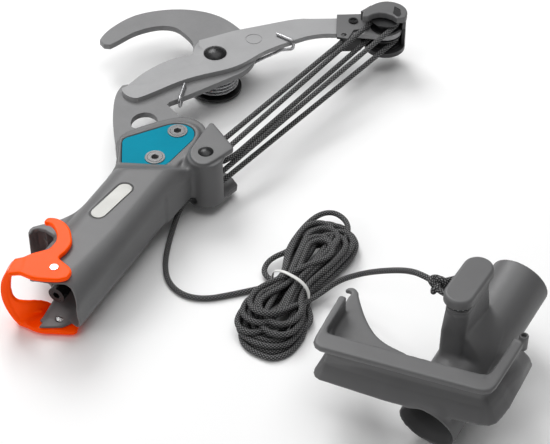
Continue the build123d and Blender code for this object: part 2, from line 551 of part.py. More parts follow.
# round the front of the guide rollers, and round the far side of the sheaves
w1 = wrap(G, GUIDE_ROPE_R, base_a - 4, base_a - 176, Z_G1)
hx = Helix(pitch=2 * (zC1 - zC2), height=(zC1 - zC2) * 160 / 180, radius=GUIDE_ROPE_R, lefthand=True)
w2 = sweep(Plane(origin=hx @ 0, z_dir=hx % 0) * Circle(ROPE_R), path=hx, is_frenet=True)
w2 = Pos(gx, gy, zC2 + (zC1 - zC2) * 8 / 180) * Rot(0, 0, base_a - 8) * w2
w3 = wrap(G, GUIDE_ROPE_R, base_a - 4, base_a - W3_TURN + 4, zD)
save("rope_guide_wraps", w1 + w2 + w3)
save("rope_wrap_top", wrap(S, SHEAVE_ROPE_R, base_a + 1.5, base_a + 178.5, Z_S1))
save("rope_wrap_low", wrap(S, SHEAVE_ROPE_R, base_a + 1.5, base_a + 178.5, Z_S2))
knot = Pos(DEAD[0], DEAD[1], 14.3) * Sphere(3.9)
stem, _, _ = tube([(DEAD[0], DEAD[1] - 3.2, 4.3), (DEAD[0], DEAD[1], 4.3), (DEAD[0], DEAD[1], 13.0)], 2.1, radii=[2.6])
save("rope_dead_end", knot + stem)

# ---------------------------------------------------------------------------
# Latch: two arms joined by a bow, on a vertical pin
# ---------------------------------------------------------------------------
arm_seg = [
    ("s", [(-24.0, 36.8), (-27.5, 37.2), (-30.2, 39.5), (-30.6, 43.7), (-27.6, 47.4), (-22, 48.2), (-15, 45.7),
           (-7.7, 40.5), (-2.3, 33), (-0.3, 24), (-0.8, 12)]),
    ("l", [(-0.8, 12), (4, 13), (11, 9.6), (14.6, 4.3), (14.6, -3.5), (5, -11)]),
    ("l", [(5, -11), (-8.2, -16.2), (-19.5, -15.5), (-25.8, -17.5)]),
    ("l", [(-25.8, -17.5), (-27.5, -14), (-26.8, -4.5), (-24, 3), (-18.8, 10.6), (-13.6, 15.8)]),
    ("s", [(-13.6, 15.8), (-12.4, 20), (-12.9, 26), (-15.3, 31.6), (-19, 35.5), (-24.0, 36.8)]),
]
top_arm = outline(arm_seg, LATCH_Z, LATCH_Z + LATCH_T)
bot_arm = poly([(-33, 2), (-34.5, -9), (-33, -14.5), (-22, -15), (-9, -15.5), (2, -11.5), (15, -4.5), (16.5, 4), (12, 9),
                (-6, 14), (-20, 12)], -LATCH_Z - LATCH_T, -LATCH_Z)
LATCH_DIR = Vector(-0.954, -0.301, 0)
bow_plane = Plane(origin=(LATCH_PIN[0], LATCH_PIN[1], 0), x_dir=LATCH_DIR, z_dir=LATCH_DIR.cross(Vector(0, 0, 1)))
FRONT = 1 if bow_plane.z_dir.Y < 0 else -1
OUT_PTS = [(26.5, 29.3), (31, 26.5), (36, 19.5), (40, 9.5), (42, 0), (42.4, -9), (41, -19), (38, -25.5), (34, -29.3)]
IN_PTS = [(27, 25.3), (30, 22.5), (33.2, 16.5), (35.0, 9), (35.2, 1), (35.4, -8), (34, -16), (31, -22), (27, -25.3)]
SKIRT_IN = [(22.6, -29.3), (22.6, -7.6), (24.5, -7.4), (27, -8.4), (30, -9.4), (33.2, -7.0), (35.2, -2.0), (38, -4)]


def in_bow_plane(face_lines, d0, d1):
    with BuildPart() as bp_:
        with BuildSketch(bow_plane.offset(FRONT * d0)):
            with BuildLine():
                for kind, pts in face_lines:
                    if kind == "l":
                        Polyline(*pts)
                    else:
                        Spline(*pts)
            make_face()
        extrude(amount=FRONT * (d1 - d0))
    return bp_.part


band = in_bow_plane([("s", OUT_PTS), ("l", [OUT_PTS[-1], (24, -29.3), (24, -25.3), IN_PTS[-1]]), ("s", IN_PTS),
                     ("l", [IN_PTS[0], (22, 25.3), (22, 29.3), OUT_PTS[0]])], -8.0, 6.0)
bow = in_bow_plane([("s", OUT_PTS), ("l", [OUT_PTS[-1], SKIRT_IN[0], SKIRT_IN[1]]),
                    ("s", SKIRT_IN[1:]), ("l", [SKIRT_IN[-1], (38, 3), (38, 9)]),
                    ("s", [(38, 9), (36, 16), (31, 24.5)]), ("l", [(31, 24.5), (26.5, 29.3)])], 1.5, 6.0)
bow = bow - box(-80, 80, -80, 80, 24.9, 60)
latch = top_arm + bot_arm + bow + band
latch = latch - cyl(*LATCH_PIN, -40, 40, 3.05)
print("latch solids", len(latch.solids()))
save("latch", latch)
save("latch_pins", cyl(*LATCH_PIN, 22.6, LATCH_Z + LATCH_T + 0.4, 2.98) + cyl(*LATCH_PIN, -LATCH_Z - LATCH_T, -22.6, 2.98))

# ---------------------------------------------------------------------------
# Pull handle: pole sleeve, rope frame, cleat
# ---------------------------------------------------------------------------
az, inc = math.radians(SLEEVE_AZ), math.radians(SLEEVE_INC)
sdir = Vector(math.sin(az) * math.cos(inc), math.cos(az) * math.cos(inc), math.sin(inc))
lowc = Vector(*SLEEVE_LOW)
spl = Plane(origin=lowc, z_dir=sdir)
sleeve_out = spl * Cone(SLEEVE_R_LOW, SLEEVE_R, SLEEVE_L, align=(Align.CENTER, Align.CENTER, Align.MIN))
sleeve_bore = Plane(origin=lowc - sdir * 60, z_dir=sdir) * Cylinder(SLEEVE_BORE, SLEEVE_L + 120, align=(Align.CENTER, Align.CENTER, Align.MIN))
sleeve_clear = Plane(origin=lowc - sdir * 60, z_dir=sdir) * Cylinder(SLEEVE_R, SLEEVE_L + 120, align=(Align.CENTER, Align.CENTER, Align.MIN))
sleeve = sleeve_out - sleeve_bore
sleeve = fil(sleeve, [e for e in sleeve.edges().filter_by(GeomType.CIRCLE)], 0.8)
save("handle_sleeve", sleeve)

fr_top = poly([(200, 58), (201.6, 13), (203.6, 8), (209, 6), (321, 18), (326, 21), (327.6, 27), (330.5, 70), (326.5, 73),
               (320, 37), (317, 33), (284, 29), (208, 21.5), (206, 24), (205.5, 58)], 35.5, FRAME_Z1)
fr_bot = poly([(203, 58), (202, 13), (204, 8.2), (209, 6.2), (258, 8.6), (308, 14.5), (327, 17.5), (332, 22.5), (335, 41),
               (335, 83), (331, 86.5), (325, 84), (319.5, 37), (316.5, 33), (284, 29), (208, 21.5), (207, 24), (207, 58)],
              FRAME_Z0, 11.5)
web = poly([(203, 57.5), (208, 22), (209.6, 15.2), (214, 14.4), (300, 23.5), (316, 26), (320.5, 31), (326.5, 80), (331, 85),
            (327, 85.5), (322, 82), (316.5, 33.5), (284, 29.0), (212, 21.8), (208, 57.5)], 11.0, 36.0)
gusset = outline([("l", [(204, 15), (264, 26), (262, 38), (258, 40.5)]),
                  ("s", [(258, 40.5), (243, 43), (232, 48), (221, 58), (212.5, 68.5), (206, 77)]),
                  ("s", [(206, 77), (200.5, 82.6), (195, 78.5)]),
                  ("l", [(195, 78.5), (199.8, 75.5), (199.2, 71.5), (200.0, 58), (204, 15)])], 21.5, 25.5)
clip = cyl(329.5, 76.0, 11.5, 44.0, 3.2)


def biggest(name, shape):
    print(name, [round(q.volume) for q in shape.solids()])
    return max(shape.solids(), key=lambda q: q.volume)


h_web = biggest("web", web - sleeve_clear)
h_top = biggest("flange top", fr_top - sleeve_clear - web - clip)
h_bot = fr_bot - sleeve_clear - web - clip
clip = clip - h_web
save("handle_clip_post", clip)
h_gus = biggest("gusset", gusset - web - sleeve_clear - fr_top)
frame_main = h_top + h_bot + h_web + h_gus
save("handle_flange_top", h_top)
save("handle_flange_low", h_bot)
save("handle_web", h_web)
save("handle_gusset", h_gus)

CLEAT_C = (285.5, 77.5)


def oblong(cx, cy, length, width, z0, z1, ang=90 - 4):
    s = Pos(cx, cy, z0) * Rot(0, 0, ang) * SlotOverall(length, width)
    return extrude(s, z1 - z0)


post = oblong(*CLEAT_C, 44, 17.5, 2, 63.4)
post = post + oblong(*CLEAT_C, 37, 9.5, 63.0, 68.2)
# fairing that carries the post down to the flank of the sleeve
fplane = Plane(origin=lowc + sdir * 34, x_dir=(math.cos(az), -math.sin(az), 0), z_dir=sdir)
fair_pts = [(-13, -14), (0, -14), (20.6, -5), (18.4, -12.5), (11.5, -21.5), (5.0, -29.5), (1.0, -35.5), (-13, -35.5)]
fairing = extrude(fplane * make_face(Polyline(*fair_pts, close=True)), 50) - box(240, 340, 0, 160, 37.4, 90)
rib = biggest("saddle", fairing - post - sleeve_clear - frame_main)
save("handle_saddle", rib)
post = post - sleeve_clear - frame_main - rib
print("post solids", len(post.solids()), [round(s.volume) for s in post.solids()])
post = max(post.solids(), key=lambda s: s.volume)
save("cleat_post", post)
capc = oblong(*CLEAT_C, 50, 21.5, 68.2, 75.2)
capc = fil(capc, capc.edges().group_by(Axis.Z)[-1], 2.4)
save("cleat_cap", capc)

# rope turn in the cleat groove and the knot of the cord's end
turn_w = 9.5 + 2 * ROPE_R + 0.2
turn_l = 37 + 2 * ROPE_R + 0.2
turn_o = oblong(*CLEAT_C, turn_l + 2 * ROPE_R, turn_w + 2 * ROPE_R, 65.8 - 2.1, 65.8 + 2.1)
turn_i = oblong(*CLEAT_C, turn_l - 2 * ROPE_R, turn_w - 2 * ROPE_R, 60, 70)
turn = turn_o - turn_i
turn = fil(turn, turn.edges().group_by(Axis.Z)[-1] + turn.edges().group_by(Axis.Z)[0], 1.6)
save("cord_cleat_turn", turn)
end_knot = Pos(269.0, 70.5, 65.8) * Sphere(5.2)
end_knot = end_knot - turn_o - oblong(*CLEAT_C, 50.2, 21.7, 67.9, 76) - post
end_knot = max(end_knot.solids(), key=lambda s: s.volume)
save("cord_end_knot", end_knot)

# ---------------------------------------------------------------------------
# Pull cord: lead from the guide block, tied hank, tail to the handle
# ---------------------------------------------------------------------------
print("lead length", round(lpath.length, 1), "vol ratio", round(lead.volume / (math.pi * ROPE_R ** 2 * lpath.length), 4), [round(r, 1) for r in lrad])
save("cord_lead", lead)

HANK_PTS = [(128, 51), (134, 45), (145, 40), (155, 38.5), (161.5, 41), (165.5, 50), (167, 62), (167, 78), (164.5, 92),
            (165, 108), (166.5, 130), (164.5, 150), (161, 172), (156, 183), (146, 190), (134, 194.5), (125, 190.5),
            (119.5, 180), (117.5, 166), (117.5, 152), (111, 140), (107.5, 129), (109, 117), (115, 109.5), (122, 106),
            (120.5, 95), (117.5, 80), (119, 64)]
with BuildPart() as hk:
    with BuildSketch(Plane.XY.offset(FLOOR)):
        with BuildLine():
            Spline(*HANK_PTS, periodic=True)
        make_face()
    extrude(amount=14.5)
hank = hk.part
TAIL = [(152.0, 107.0, -24.0), (160.5, 118.0, -20.5), (177.0, 121.0, -8.0), (197.0, 113.0, 13.0), (219.0, 99.5, 36.0),
        (237.0, 88.5, 53.0), (251.0, 80.0, 62.5), (265.0, 72.8, 65.8)]
tail, tpath, trad = tube(TAIL, ROPE_R)
print("tail length", round(tpath.length, 1), "vol ratio", round(tail.volume / (math.pi * ROPE_R ** 2 * tpath.length), 4), [round(r, 1) for r in trad])
hank = hank - tail - lead
hank = max(hank.solids(), key=lambda s: s.volume)
save("cord_hank", hank)
tail = tail - end_knot
tail = max(tail.solids(), key=lambda s: s.volume)
save("cord_tail", tail)
tie = poly([(114.2, 111.0), (114.9, 114.1), (167.2, 101.4), (166.5, 98.3)], FLOOR + 0.05, -14.6)
tie = tie - hank - lead - tail
ties = sorted(tie.solids(), key=lambda s: -s.volume)
print("tie solids", [round(s.volume, 1) for s in ties])
save("hank_tie", ties[0])

for k, v in VOL.items():
    print(f"{k:22s} {v:12.1f}")
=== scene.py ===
import json
import math
import numpy as np
import random
import bpy
import bmesh
from mathutils import Matrix, Vector, noise


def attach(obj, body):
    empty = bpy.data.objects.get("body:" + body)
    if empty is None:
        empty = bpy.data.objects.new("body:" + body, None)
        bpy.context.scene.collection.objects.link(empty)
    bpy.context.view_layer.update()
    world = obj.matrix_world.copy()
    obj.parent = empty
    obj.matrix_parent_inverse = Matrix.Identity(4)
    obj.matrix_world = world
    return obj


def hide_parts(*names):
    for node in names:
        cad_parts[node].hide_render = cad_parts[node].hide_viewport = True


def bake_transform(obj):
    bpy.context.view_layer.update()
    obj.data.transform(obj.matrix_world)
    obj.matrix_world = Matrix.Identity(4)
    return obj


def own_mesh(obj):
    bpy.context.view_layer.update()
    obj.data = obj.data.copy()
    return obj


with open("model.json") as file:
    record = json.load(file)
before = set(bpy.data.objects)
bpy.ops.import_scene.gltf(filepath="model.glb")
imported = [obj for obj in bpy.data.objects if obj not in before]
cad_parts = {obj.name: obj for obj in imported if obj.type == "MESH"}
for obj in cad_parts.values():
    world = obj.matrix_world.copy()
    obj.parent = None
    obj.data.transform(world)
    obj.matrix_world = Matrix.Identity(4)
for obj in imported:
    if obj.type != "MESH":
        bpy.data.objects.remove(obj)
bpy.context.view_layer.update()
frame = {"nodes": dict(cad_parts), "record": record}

DY = -3.0                     # layout datum, mm
MM = 0.001


def P(x, y, z):
    """Layout millimetres to metres in the part's frame."""
    return Vector((x * MM, (y + DY) * MM, z * MM))


# ------------------------------------------------------------------ camera
scene = bpy.context.scene
cam_data = bpy.data.cameras.new("cam")
cam = bpy.data.objects.new("cam", cam_data)
scene.collection.objects.link(cam)
A, E = math.radians(26.5), math.radians(42.0)
r = Vector((math.cos(A), math.sin(A), 0))
u = Vector((-0.29856, 0.59883, 0.74314)).normalized()
b = r.cross(u).normalized()
C = P(530.38, -704.98, 855.25)
cam.matrix_world = Matrix(((r.x, u.x, b.x, C.x), (r.y, u.y, b.y, C.y), (r.z, u.z, b.z, C.z), (0, 0, 0, 1)))
cam_data.sensor_width = 36.0
cam_data.lens = 36.0 * 1680.0 / 550.0
cam_data.clip_start = 0.05
cam_data.clip_end = 20
scene.camera = cam


# --------------------------------------------------------------- materials
def new_mat(name):
    m = bpy.data.materials.new(name)
    m.use_nodes = True
    nt = m.node_tree
    bsdf = nt.nodes["Principled BSDF"]
    return m, nt, bsdf


def grainy(name, base, rough=0.5, metal=0.0, scale=600.0, bump=0.15, vary=0.12, rough_vary=0.08, spec=0.5, coarse=40.0,
           dist=0.0002, coat=0.0):
    """Procedural surface: coarse and fine noise in colour, roughness and relief."""
    m, nt, bsdf = new_mat(name)
    N, L = nt.nodes, nt.links
    tc = N.new("ShaderNodeTexCoord")
    n1 = N.new("ShaderNodeTexNoise"); n1.inputs["Scale"].default_value = coarse
    n1.inputs["Detail"].default_value = 4.0
    n2 = N.new("ShaderNodeTexNoise"); n2.inputs["Scale"].default_value = scale
    n2.inputs["Detail"].default_value = 3.0
    L.new(tc.outputs["Object"], n1.inputs["Vector"])
    L.new(tc.outputs["Object"], n2.inputs["Vector"])
    ramp = N.new("ShaderNodeValToRGB")
    lo = [c * (1 - vary) for c in base]
    hi = [min(1, c * (1 + vary)) for c in base]
    ramp.color_ramp.elements[0].position = 0.3
    ramp.color_ramp.elements[1].position = 0.7
    ramp.color_ramp.elements[0].color = (*lo, 1)
    ramp.color_ramp.elements[1].color = (*hi, 1)
    L.new(n1.outputs["Fac"], ramp.inputs["Fac"])
    L.new(ramp.outputs["Color"], bsdf.inputs["Base Color"])
    mr = N.new("ShaderNodeMapRange")
    mr.inputs["From Min"].default_value = 0.3
    mr.inputs["From Max"].default_value = 0.7
    mr.inputs["To Min"].default_value = max(0.02, rough - rough_vary)
    mr.inputs["To Max"].default_value = min(1, rough + rough_vary)
    L.new(n2.outputs["Fac"], mr.inputs["Value"])
    L.new(mr.outputs["Result"], bsdf.inputs["Roughness"])
    bp = N.new("ShaderNodeBump")
    bp.inputs["Strength"].default_value = bump
    bp.inputs["Distance"].default_value = dist
    L.new(n2.outputs["Fac"], bp.inputs["Height"])
    L.new(bp.outputs["Normal"], bsdf.inputs["Normal"])
    bsdf.inputs["Metallic"].default_value = metal
    bsdf.inputs["Specular IOR Level"].default_value = spec
    if coat:
        bsdf.inputs["Coat Weight"].default_value = coat
        bsdf.inputs["Coat Roughness"].default_value = 0.12
    return m


def rope_mat(name, base, fleck, pitch=0.0052, n_carriers=3, amount=0.5):
    """Braided cover: two crossing sets of strands over the tube's own length and angle."""
    m, nt, bsdf = new_mat(name)
    N, L = nt.nodes, nt.links
    at = N.new("ShaderNodeAttribute"); at.attribute_name = "braid"
    sep = N.new("ShaderNodeSeparateXYZ")
    L.new(at.outputs["Vector"], sep.inputs["Vector"])

    def math_node(op, a, bb=None):
        n = N.new("ShaderNodeMath"); n.operation = op
        for i, v in enumerate((a, bb)):
            if v is None:
                continue
            if isinstance(v, (int, float)):
                n.inputs[i].default_value = v
            else:
                L.new(v, n.inputs[i])
        return n.outputs[0]

    s_ = math_node("MULTIPLY", sep.outputs["X"], 2 * math.pi / pitch)
    a_ = math_node("MULTIPLY", sep.outputs["Y"], float(n_carriers))
    p1 = math_node("SINE", math_node("ADD", s_, a_))
    p2 = math_node("SINE", math_node("SUBTRACT", s_, a_))
    prod = math_node("ABSOLUTE", math_node("MULTIPLY", p1, p2))
    nz = N.new("ShaderNodeTexNoise"); nz.inputs["Scale"].default_value = 900.0
    L.new(at.outputs["Vector"], nz.inputs["Vector"])
    tot = math_node("ADD", prod, math_node("MULTIPLY", math_node("SUBTRACT", nz.outputs["Fac"], 0.5), 0.5))
    ramp = N.new("ShaderNodeValToRGB")
    ramp.color_ramp.elements[0].position = 0.38
    ramp.color_ramp.elements[1].position = 0.72
    ramp.color_ramp.elements[0].color = (*base, 1)
    ramp.color_ramp.elements[1].color = (*fleck, 1)
    mr = N.new("ShaderNodeMapRange")
    mr.inputs["From Min"].default_value = 0.0
    mr.inputs["From Max"].default_value = 1.0
    L.new(tot, mr.inputs["Value"])
    L.new(mr.outputs["Result"], ramp.inputs["Fac"])
    L.new(ramp.outputs["Color"], bsdf.inputs["Base Color"])
    bp = N.new("ShaderNodeBump")
    bp.inputs["Strength"].default_value = 0.9
    bp.inputs["Distance"].default_value = 0.0004
    L.new(tot, bp.inputs["Height"])
    L.new(bp.outputs["Normal"], bsdf.inputs["Normal"])
    bsdf.inputs["Roughness"].default_value = 0.72
    bsdf.inputs["Specular IOR Level"].default_value = 0.35
    return m


GREY = (0.120, 0.120, 0.122)
M = {
    "grey_plastic": grainy("grey_plastic", GREY, 0.46, scale=1600, bump=0.25, vary=0.05),
    "black_plastic": grainy("black_plastic", (0.018, 0.018, 0.019), 0.38, scale=900, bump=0.12),
    "block_plastic": grainy("block_plastic", (0.12, 0.12, 0.122), 0.45, scale=1200, bump=0.2, vary=0.06),
    "teal_plastic": grainy("teal_plastic", (0.0, 0.235, 0.34), 0.5, scale=900, bump=0.1, vary=0.05, spec=0.04),
    "light_plastic": grainy("light_plastic", (0.50, 0.50, 0.47), 0.35, scale=800, bump=0.08),
    "orange_plastic": grainy("orange_plastic", (0.90, 0.092, 0.0006), 0.20, scale=900, bump=0.03, vary=0.03, rough_vary=0.04, spec=0.07),
    "hook_steel": grainy("hook_steel", (0.205, 0.205, 0.208), 0.55, metal=0.0, scale=500, bump=0.06, vary=0.05, spec=0.3),
    "blade_steel": grainy("blade_steel", (0.33, 0.33, 0.335), 0.5, metal=0.0, scale=500, bump=0.06, vary=0.05, spec=0.35),
    "spring_steel": grainy("spring_steel", (0.42, 0.42, 0.43), 0.3, metal=0.9, scale=500, bump=0.05),
    "black_steel": grainy("black_steel", (0.020, 0.020, 0.021), 0.32, metal=0.5, scale=700, bump=0.05),
    "washer_steel": grainy("washer_steel", (0.17, 0.17, 0.172), 0.42, metal=0.25, scale=700, bump=0.06),
    "pin_steel": grainy("pin_steel", (0.62, 0.62, 0.62), 0.25, metal=0.9, scale=700, bump=0.04),
    "rope": rope_mat("rope", (0.013, 0.013, 0.014), (0.23, 0.23, 0.232)),
    "white_tie": grainy("white_tie", (0.74, 0.74, 0.72), 0.4, scale=700, bump=0.1, vary=0.04),
}
# painted glow: a faint red emission makes the orange plastic brighter than the lamps alone light it
orange_painted_glow_bsdf = M["orange_plastic"].node_tree.nodes["Principled BSDF"]
orange_painted_glow_bsdf.inputs["Emission Color"].default_value = (1.0, 0.02, 0.0, 1)
orange_painted_glow_bsdf.inputs["Emission Strength"].default_value = 0.22
SLOT = {s["node"]: s["material_slot"] for s in frame["record"]["subparts"]}
SLOT["sheave_block"] = "block_plastic"
# painted light and shade: grey cap and yoke above 9 mm, near-black body below, standing in for the lit top and the body
# shaded under the cap and lever
bm = M["block_plastic"]
bb = bm.node_tree.nodes["Principled BSDF"]
top_link = bb.inputs["Base Color"].links[0].from_socket
btc = bm.node_tree.nodes.new("ShaderNodeTexCoord")
bsp = bm.node_tree.nodes.new("ShaderNodeSeparateXYZ")
painted_shade_band = bm.node_tree.nodes.new("ShaderNodeMapRange")
painted_shade_band.inputs["From Min"].default_value = 0.0088
painted_shade_band.inputs["From Max"].default_value = 0.0092
painted_shade_mix = bm.node_tree.nodes.new("ShaderNodeMix")
painted_shade_mix.data_type = "RGBA"
# painted shade: the near-black colour of the body below the height band
painted_shade_mix.inputs[6].default_value = (0.022, 0.022, 0.023, 1)
bm.node_tree.links.new(btc.outputs["Object"], bsp.inputs["Vector"])
bm.node_tree.links.new(bsp.outputs["Z"], painted_shade_band.inputs["Value"])
bm.node_tree.links.new(painted_shade_band.outputs["Result"], painted_shade_mix.inputs["Factor"])
bm.node_tree.links.new(top_link, painted_shade_mix.inputs[7])
bm.node_tree.links.new(painted_shade_mix.outputs[2], bb.inputs["Base Color"])
SLOT["yoke_pin"] = "black_steel"
for node, obj in frame["nodes"].items():
    obj.data.materials.clear()
    obj.data.materials.append(M[SLOT[node]])

# ------------------------------------------------------------------- cords
def link(me, name, mat=None, smooth=True):
    o = bpy.data.objects.new(name, me)
    scene.collection.objects.link(o)
    if mat is not None:
        me.materials.clear()
        me.materials.append(mat)
    if smooth:
        me.polygons.foreach_set("use_smooth", [True] * len(me.polygons))
    return o


def nurbs_samples(name, pts, res=6):
    """Points along one smooth NURBS spline through the route, in metres."""
    cu = bpy.data.curves.new(name, "CURVE")
    cu.dimensions = "3D"
    sp = cu.splines.new("NURBS")
    sp.points.add(len(pts) - 1)
    for i, p in enumerate(pts):
        sp.points[i].co = (*p, 1.0)
    sp.order_u = 3
    sp.use_endpoint_u = True
    sp.resolution_u = res
    cu.resolution_u = res
    ob = bpy.data.objects.new(name, cu)
    scene.collection.objects.link(ob)
    bpy.context.view_layer.update()
    dg = bpy.context.evaluated_depsgraph_get()
    me = bpy.data.meshes.new_from_object(ob.evaluated_get(dg))
    out = [v.co.copy() for v in me.vertices]
    bpy.data.meshes.remove(me)
    bpy.data.objects.remove(ob)
    bpy.data.curves.remove(cu)
    return out


def tube_mesh(name, pts, radius, sides=12, mat=None, closed=False, caps=True, s0=0.0, radii=None):
    """Round tube along points; every corner carries its length along the tube and its angle."""
    n = len(pts)
    tang = []
    for i in range(n):
        if closed:
            t = pts[(i + 1) % n] - pts[i - 1]
        else:
            t = pts[min(i + 1, n - 1)] - pts[max(i - 1, 0)]
        tang.append(t.normalized())
    ref = Vector((0, 0, 1)) if abs(tang[0].z) < 0.9 else Vector((1, 0, 0))
    nrm = (ref - tang[0] * ref.dot(tang[0])).normalized()
    frames = []
    for i in range(n):
        nrm = (nrm - tang[i] * nrm.dot(tang[i])).normalized()
        frames.append((nrm.copy(), tang[i].cross(nrm)))
    verts, faces, loops = [], [], []
    s = s0
    ss = []
    for i in range(n):
        if i:
            s += (pts[i] - pts[i - 1]).length
        ss.append(s)
        a, c = frames[i]
        rr = radius if radii is None else radii[i]
        for j in range(sides):
            th = 2 * math.pi * j / sides
            verts.append(pts[i] + (a * math.cos(th) + c * math.sin(th)) * rr)
    rows = n if closed else n - 1
    for i in range(rows):
        k = (i + 1) % n
        sk = ss[k] if k else ss[-1] + (pts[0] - pts[-1]).length
        for j in range(sides):
            m = (j + 1) % sides
            faces.append((i * sides + j, i * sides + m, k * sides + m, k * sides + j))
            t0, t1 = 2 * math.pi * j / sides, 2 * math.pi * (j + 1) / sides
            loops += [(ss[i], t0, 0), (ss[i], t1, 0), (sk, t1, 0), (sk, t0, 0)]
    if not closed and caps:
        for row, flip in ((0, True), (n - 1, False)):
            verts.append(pts[row] + tang[row] * (radius * (-0.35 if flip else 0.35)))
            c0 = len(verts) - 1
            for j in range(sides):
                m = (j + 1) % sides
                a0, a1 = row * sides + j, row * sides + m
                faces.append((a1, a0, c0) if flip else (a0, a1, c0))
                t0, t1 = 2 * math.pi * j / sides, 2 * math.pi * (j + 1) / sides
                if flip:
                    loops += [(ss[row], t1, 0), (ss[row], t0, 0), (ss[row] - radius * 0.5, t0, 0)]
                else:
                    loops += [(ss[row], t0, 0), (ss[row], t1, 0), (ss[row] + radius * 0.5, t0, 0)]
    me = bpy.data.meshes.new(name)
    me.from_pydata([tuple(v) for v in verts], [], faces)
    at = me.attributes.new("braid", "FLOAT_VECTOR", "CORNER")
    at.data.foreach_set("vector", [c for l in loops for c in l])
    me.update()
    return link(me, name, mat)


ROPE_R = 2.15 * MM
CZ = -31.0 + 2.15 + 0.05
GX, GY = 33.0, 172.0
SX, SY = 83.0, 407.0
Z_G1, Z_G2, Z_G3 = 13.4, -1.95, -14.0
Z_S1, Z_S2 = 12.3, -4.1
dl = math.hypot(SX - GX, SY - GY)
dx, dy = (SX - GX) / dl, (SY - GY) / dl
nx, ny = dy, -dx
BASE_A = math.atan2(ny, nx)

# the tied hank: fourteen turns, each a long loop through the tie at the waist
WC = (140.2, 108.6)
WD = (0.971, -0.236)
#        sL     sR    URl  URr  URyt URxt  LLl  LLr  LLyt LLxt   z
TURNS = [(-12.9, 12.9, 118.6, 158.5, 190.5, 134.0, 121.5, 166.2, 41.0, 149.0, -28.8),
         (-8.6, 8.6, 123.5, 162.5, 187.0, 148.0, 126.0, 162.0, 46.0, 147.0, -28.7),
         (-4.3, 4.3, 128.5, 149.5, 179.0, 140.0, 131.0, 157.5, 53.0, 145.0, -28.8),
         (-10.7, 10.7, 120.5, 164.5, 180.5, 153.0, 118.6, 163.5, 47.0, 141.0, -24.6),
         (-6.4, 6.4, 126.0, 158.0, 186.5, 143.0, 123.0, 158.5, 52.0, 141.5, -24.5),
         (-2.1, 2.1, 132.5, 154.0, 170.0, 143.5, 128.5, 152.5, 57.0, 140.0, -24.6),
         (-12.9, 0.0, 119.5, 143.0, 185.5, 131.5, 117.8, 142.0, 50.5, 130.0, -20.6),
         (-4.3, 12.9, 136.5, 163.0, 176.5, 150.5, 135.0, 162.5, 55.5, 149.0, -18.4),
         (-12.0, 5.0, 118.6, 154.0, 194.0, 135.0, 121.6, 154.5, 61.0, 138.0, -19.6),
         (-10.7, 2.1, 121.5, 146.0, 178.5, 134.0, 119.0, 145.0, 57.5, 132.0, -15.4),
         (-2.1, 10.7, 137.0, 160.5, 167.0, 149.5, 136.0, 159.5, 62.0, 147.5, -14.6),
         (-6.4, 6.4, 129.0, 153.0, 170.5, 141.0, 125.6, 150.0, 66.0, 138.0, -13.2),
         (-4.3, 4.3, 131.5, 151.0, 166.0, 140.5, 129.0, 149.0, 58.0, 138.5, -12.6),
         (0.6, 9.6, 134.5, 155.5, 161.5, 145.5, 132.0, 153.5, 54.0, 142.5, -11.6)]
WAIST_Z = (-28.8, -24.6, -20.4, -16.2, -12.4)
rnd = random.Random(11)


def waist(s, y_off, z):
    return (WC[0] + WD[0] * s - WD[1] * 0 + y_off * 0.10, WC[1] + WD[1] * s + y_off, z)


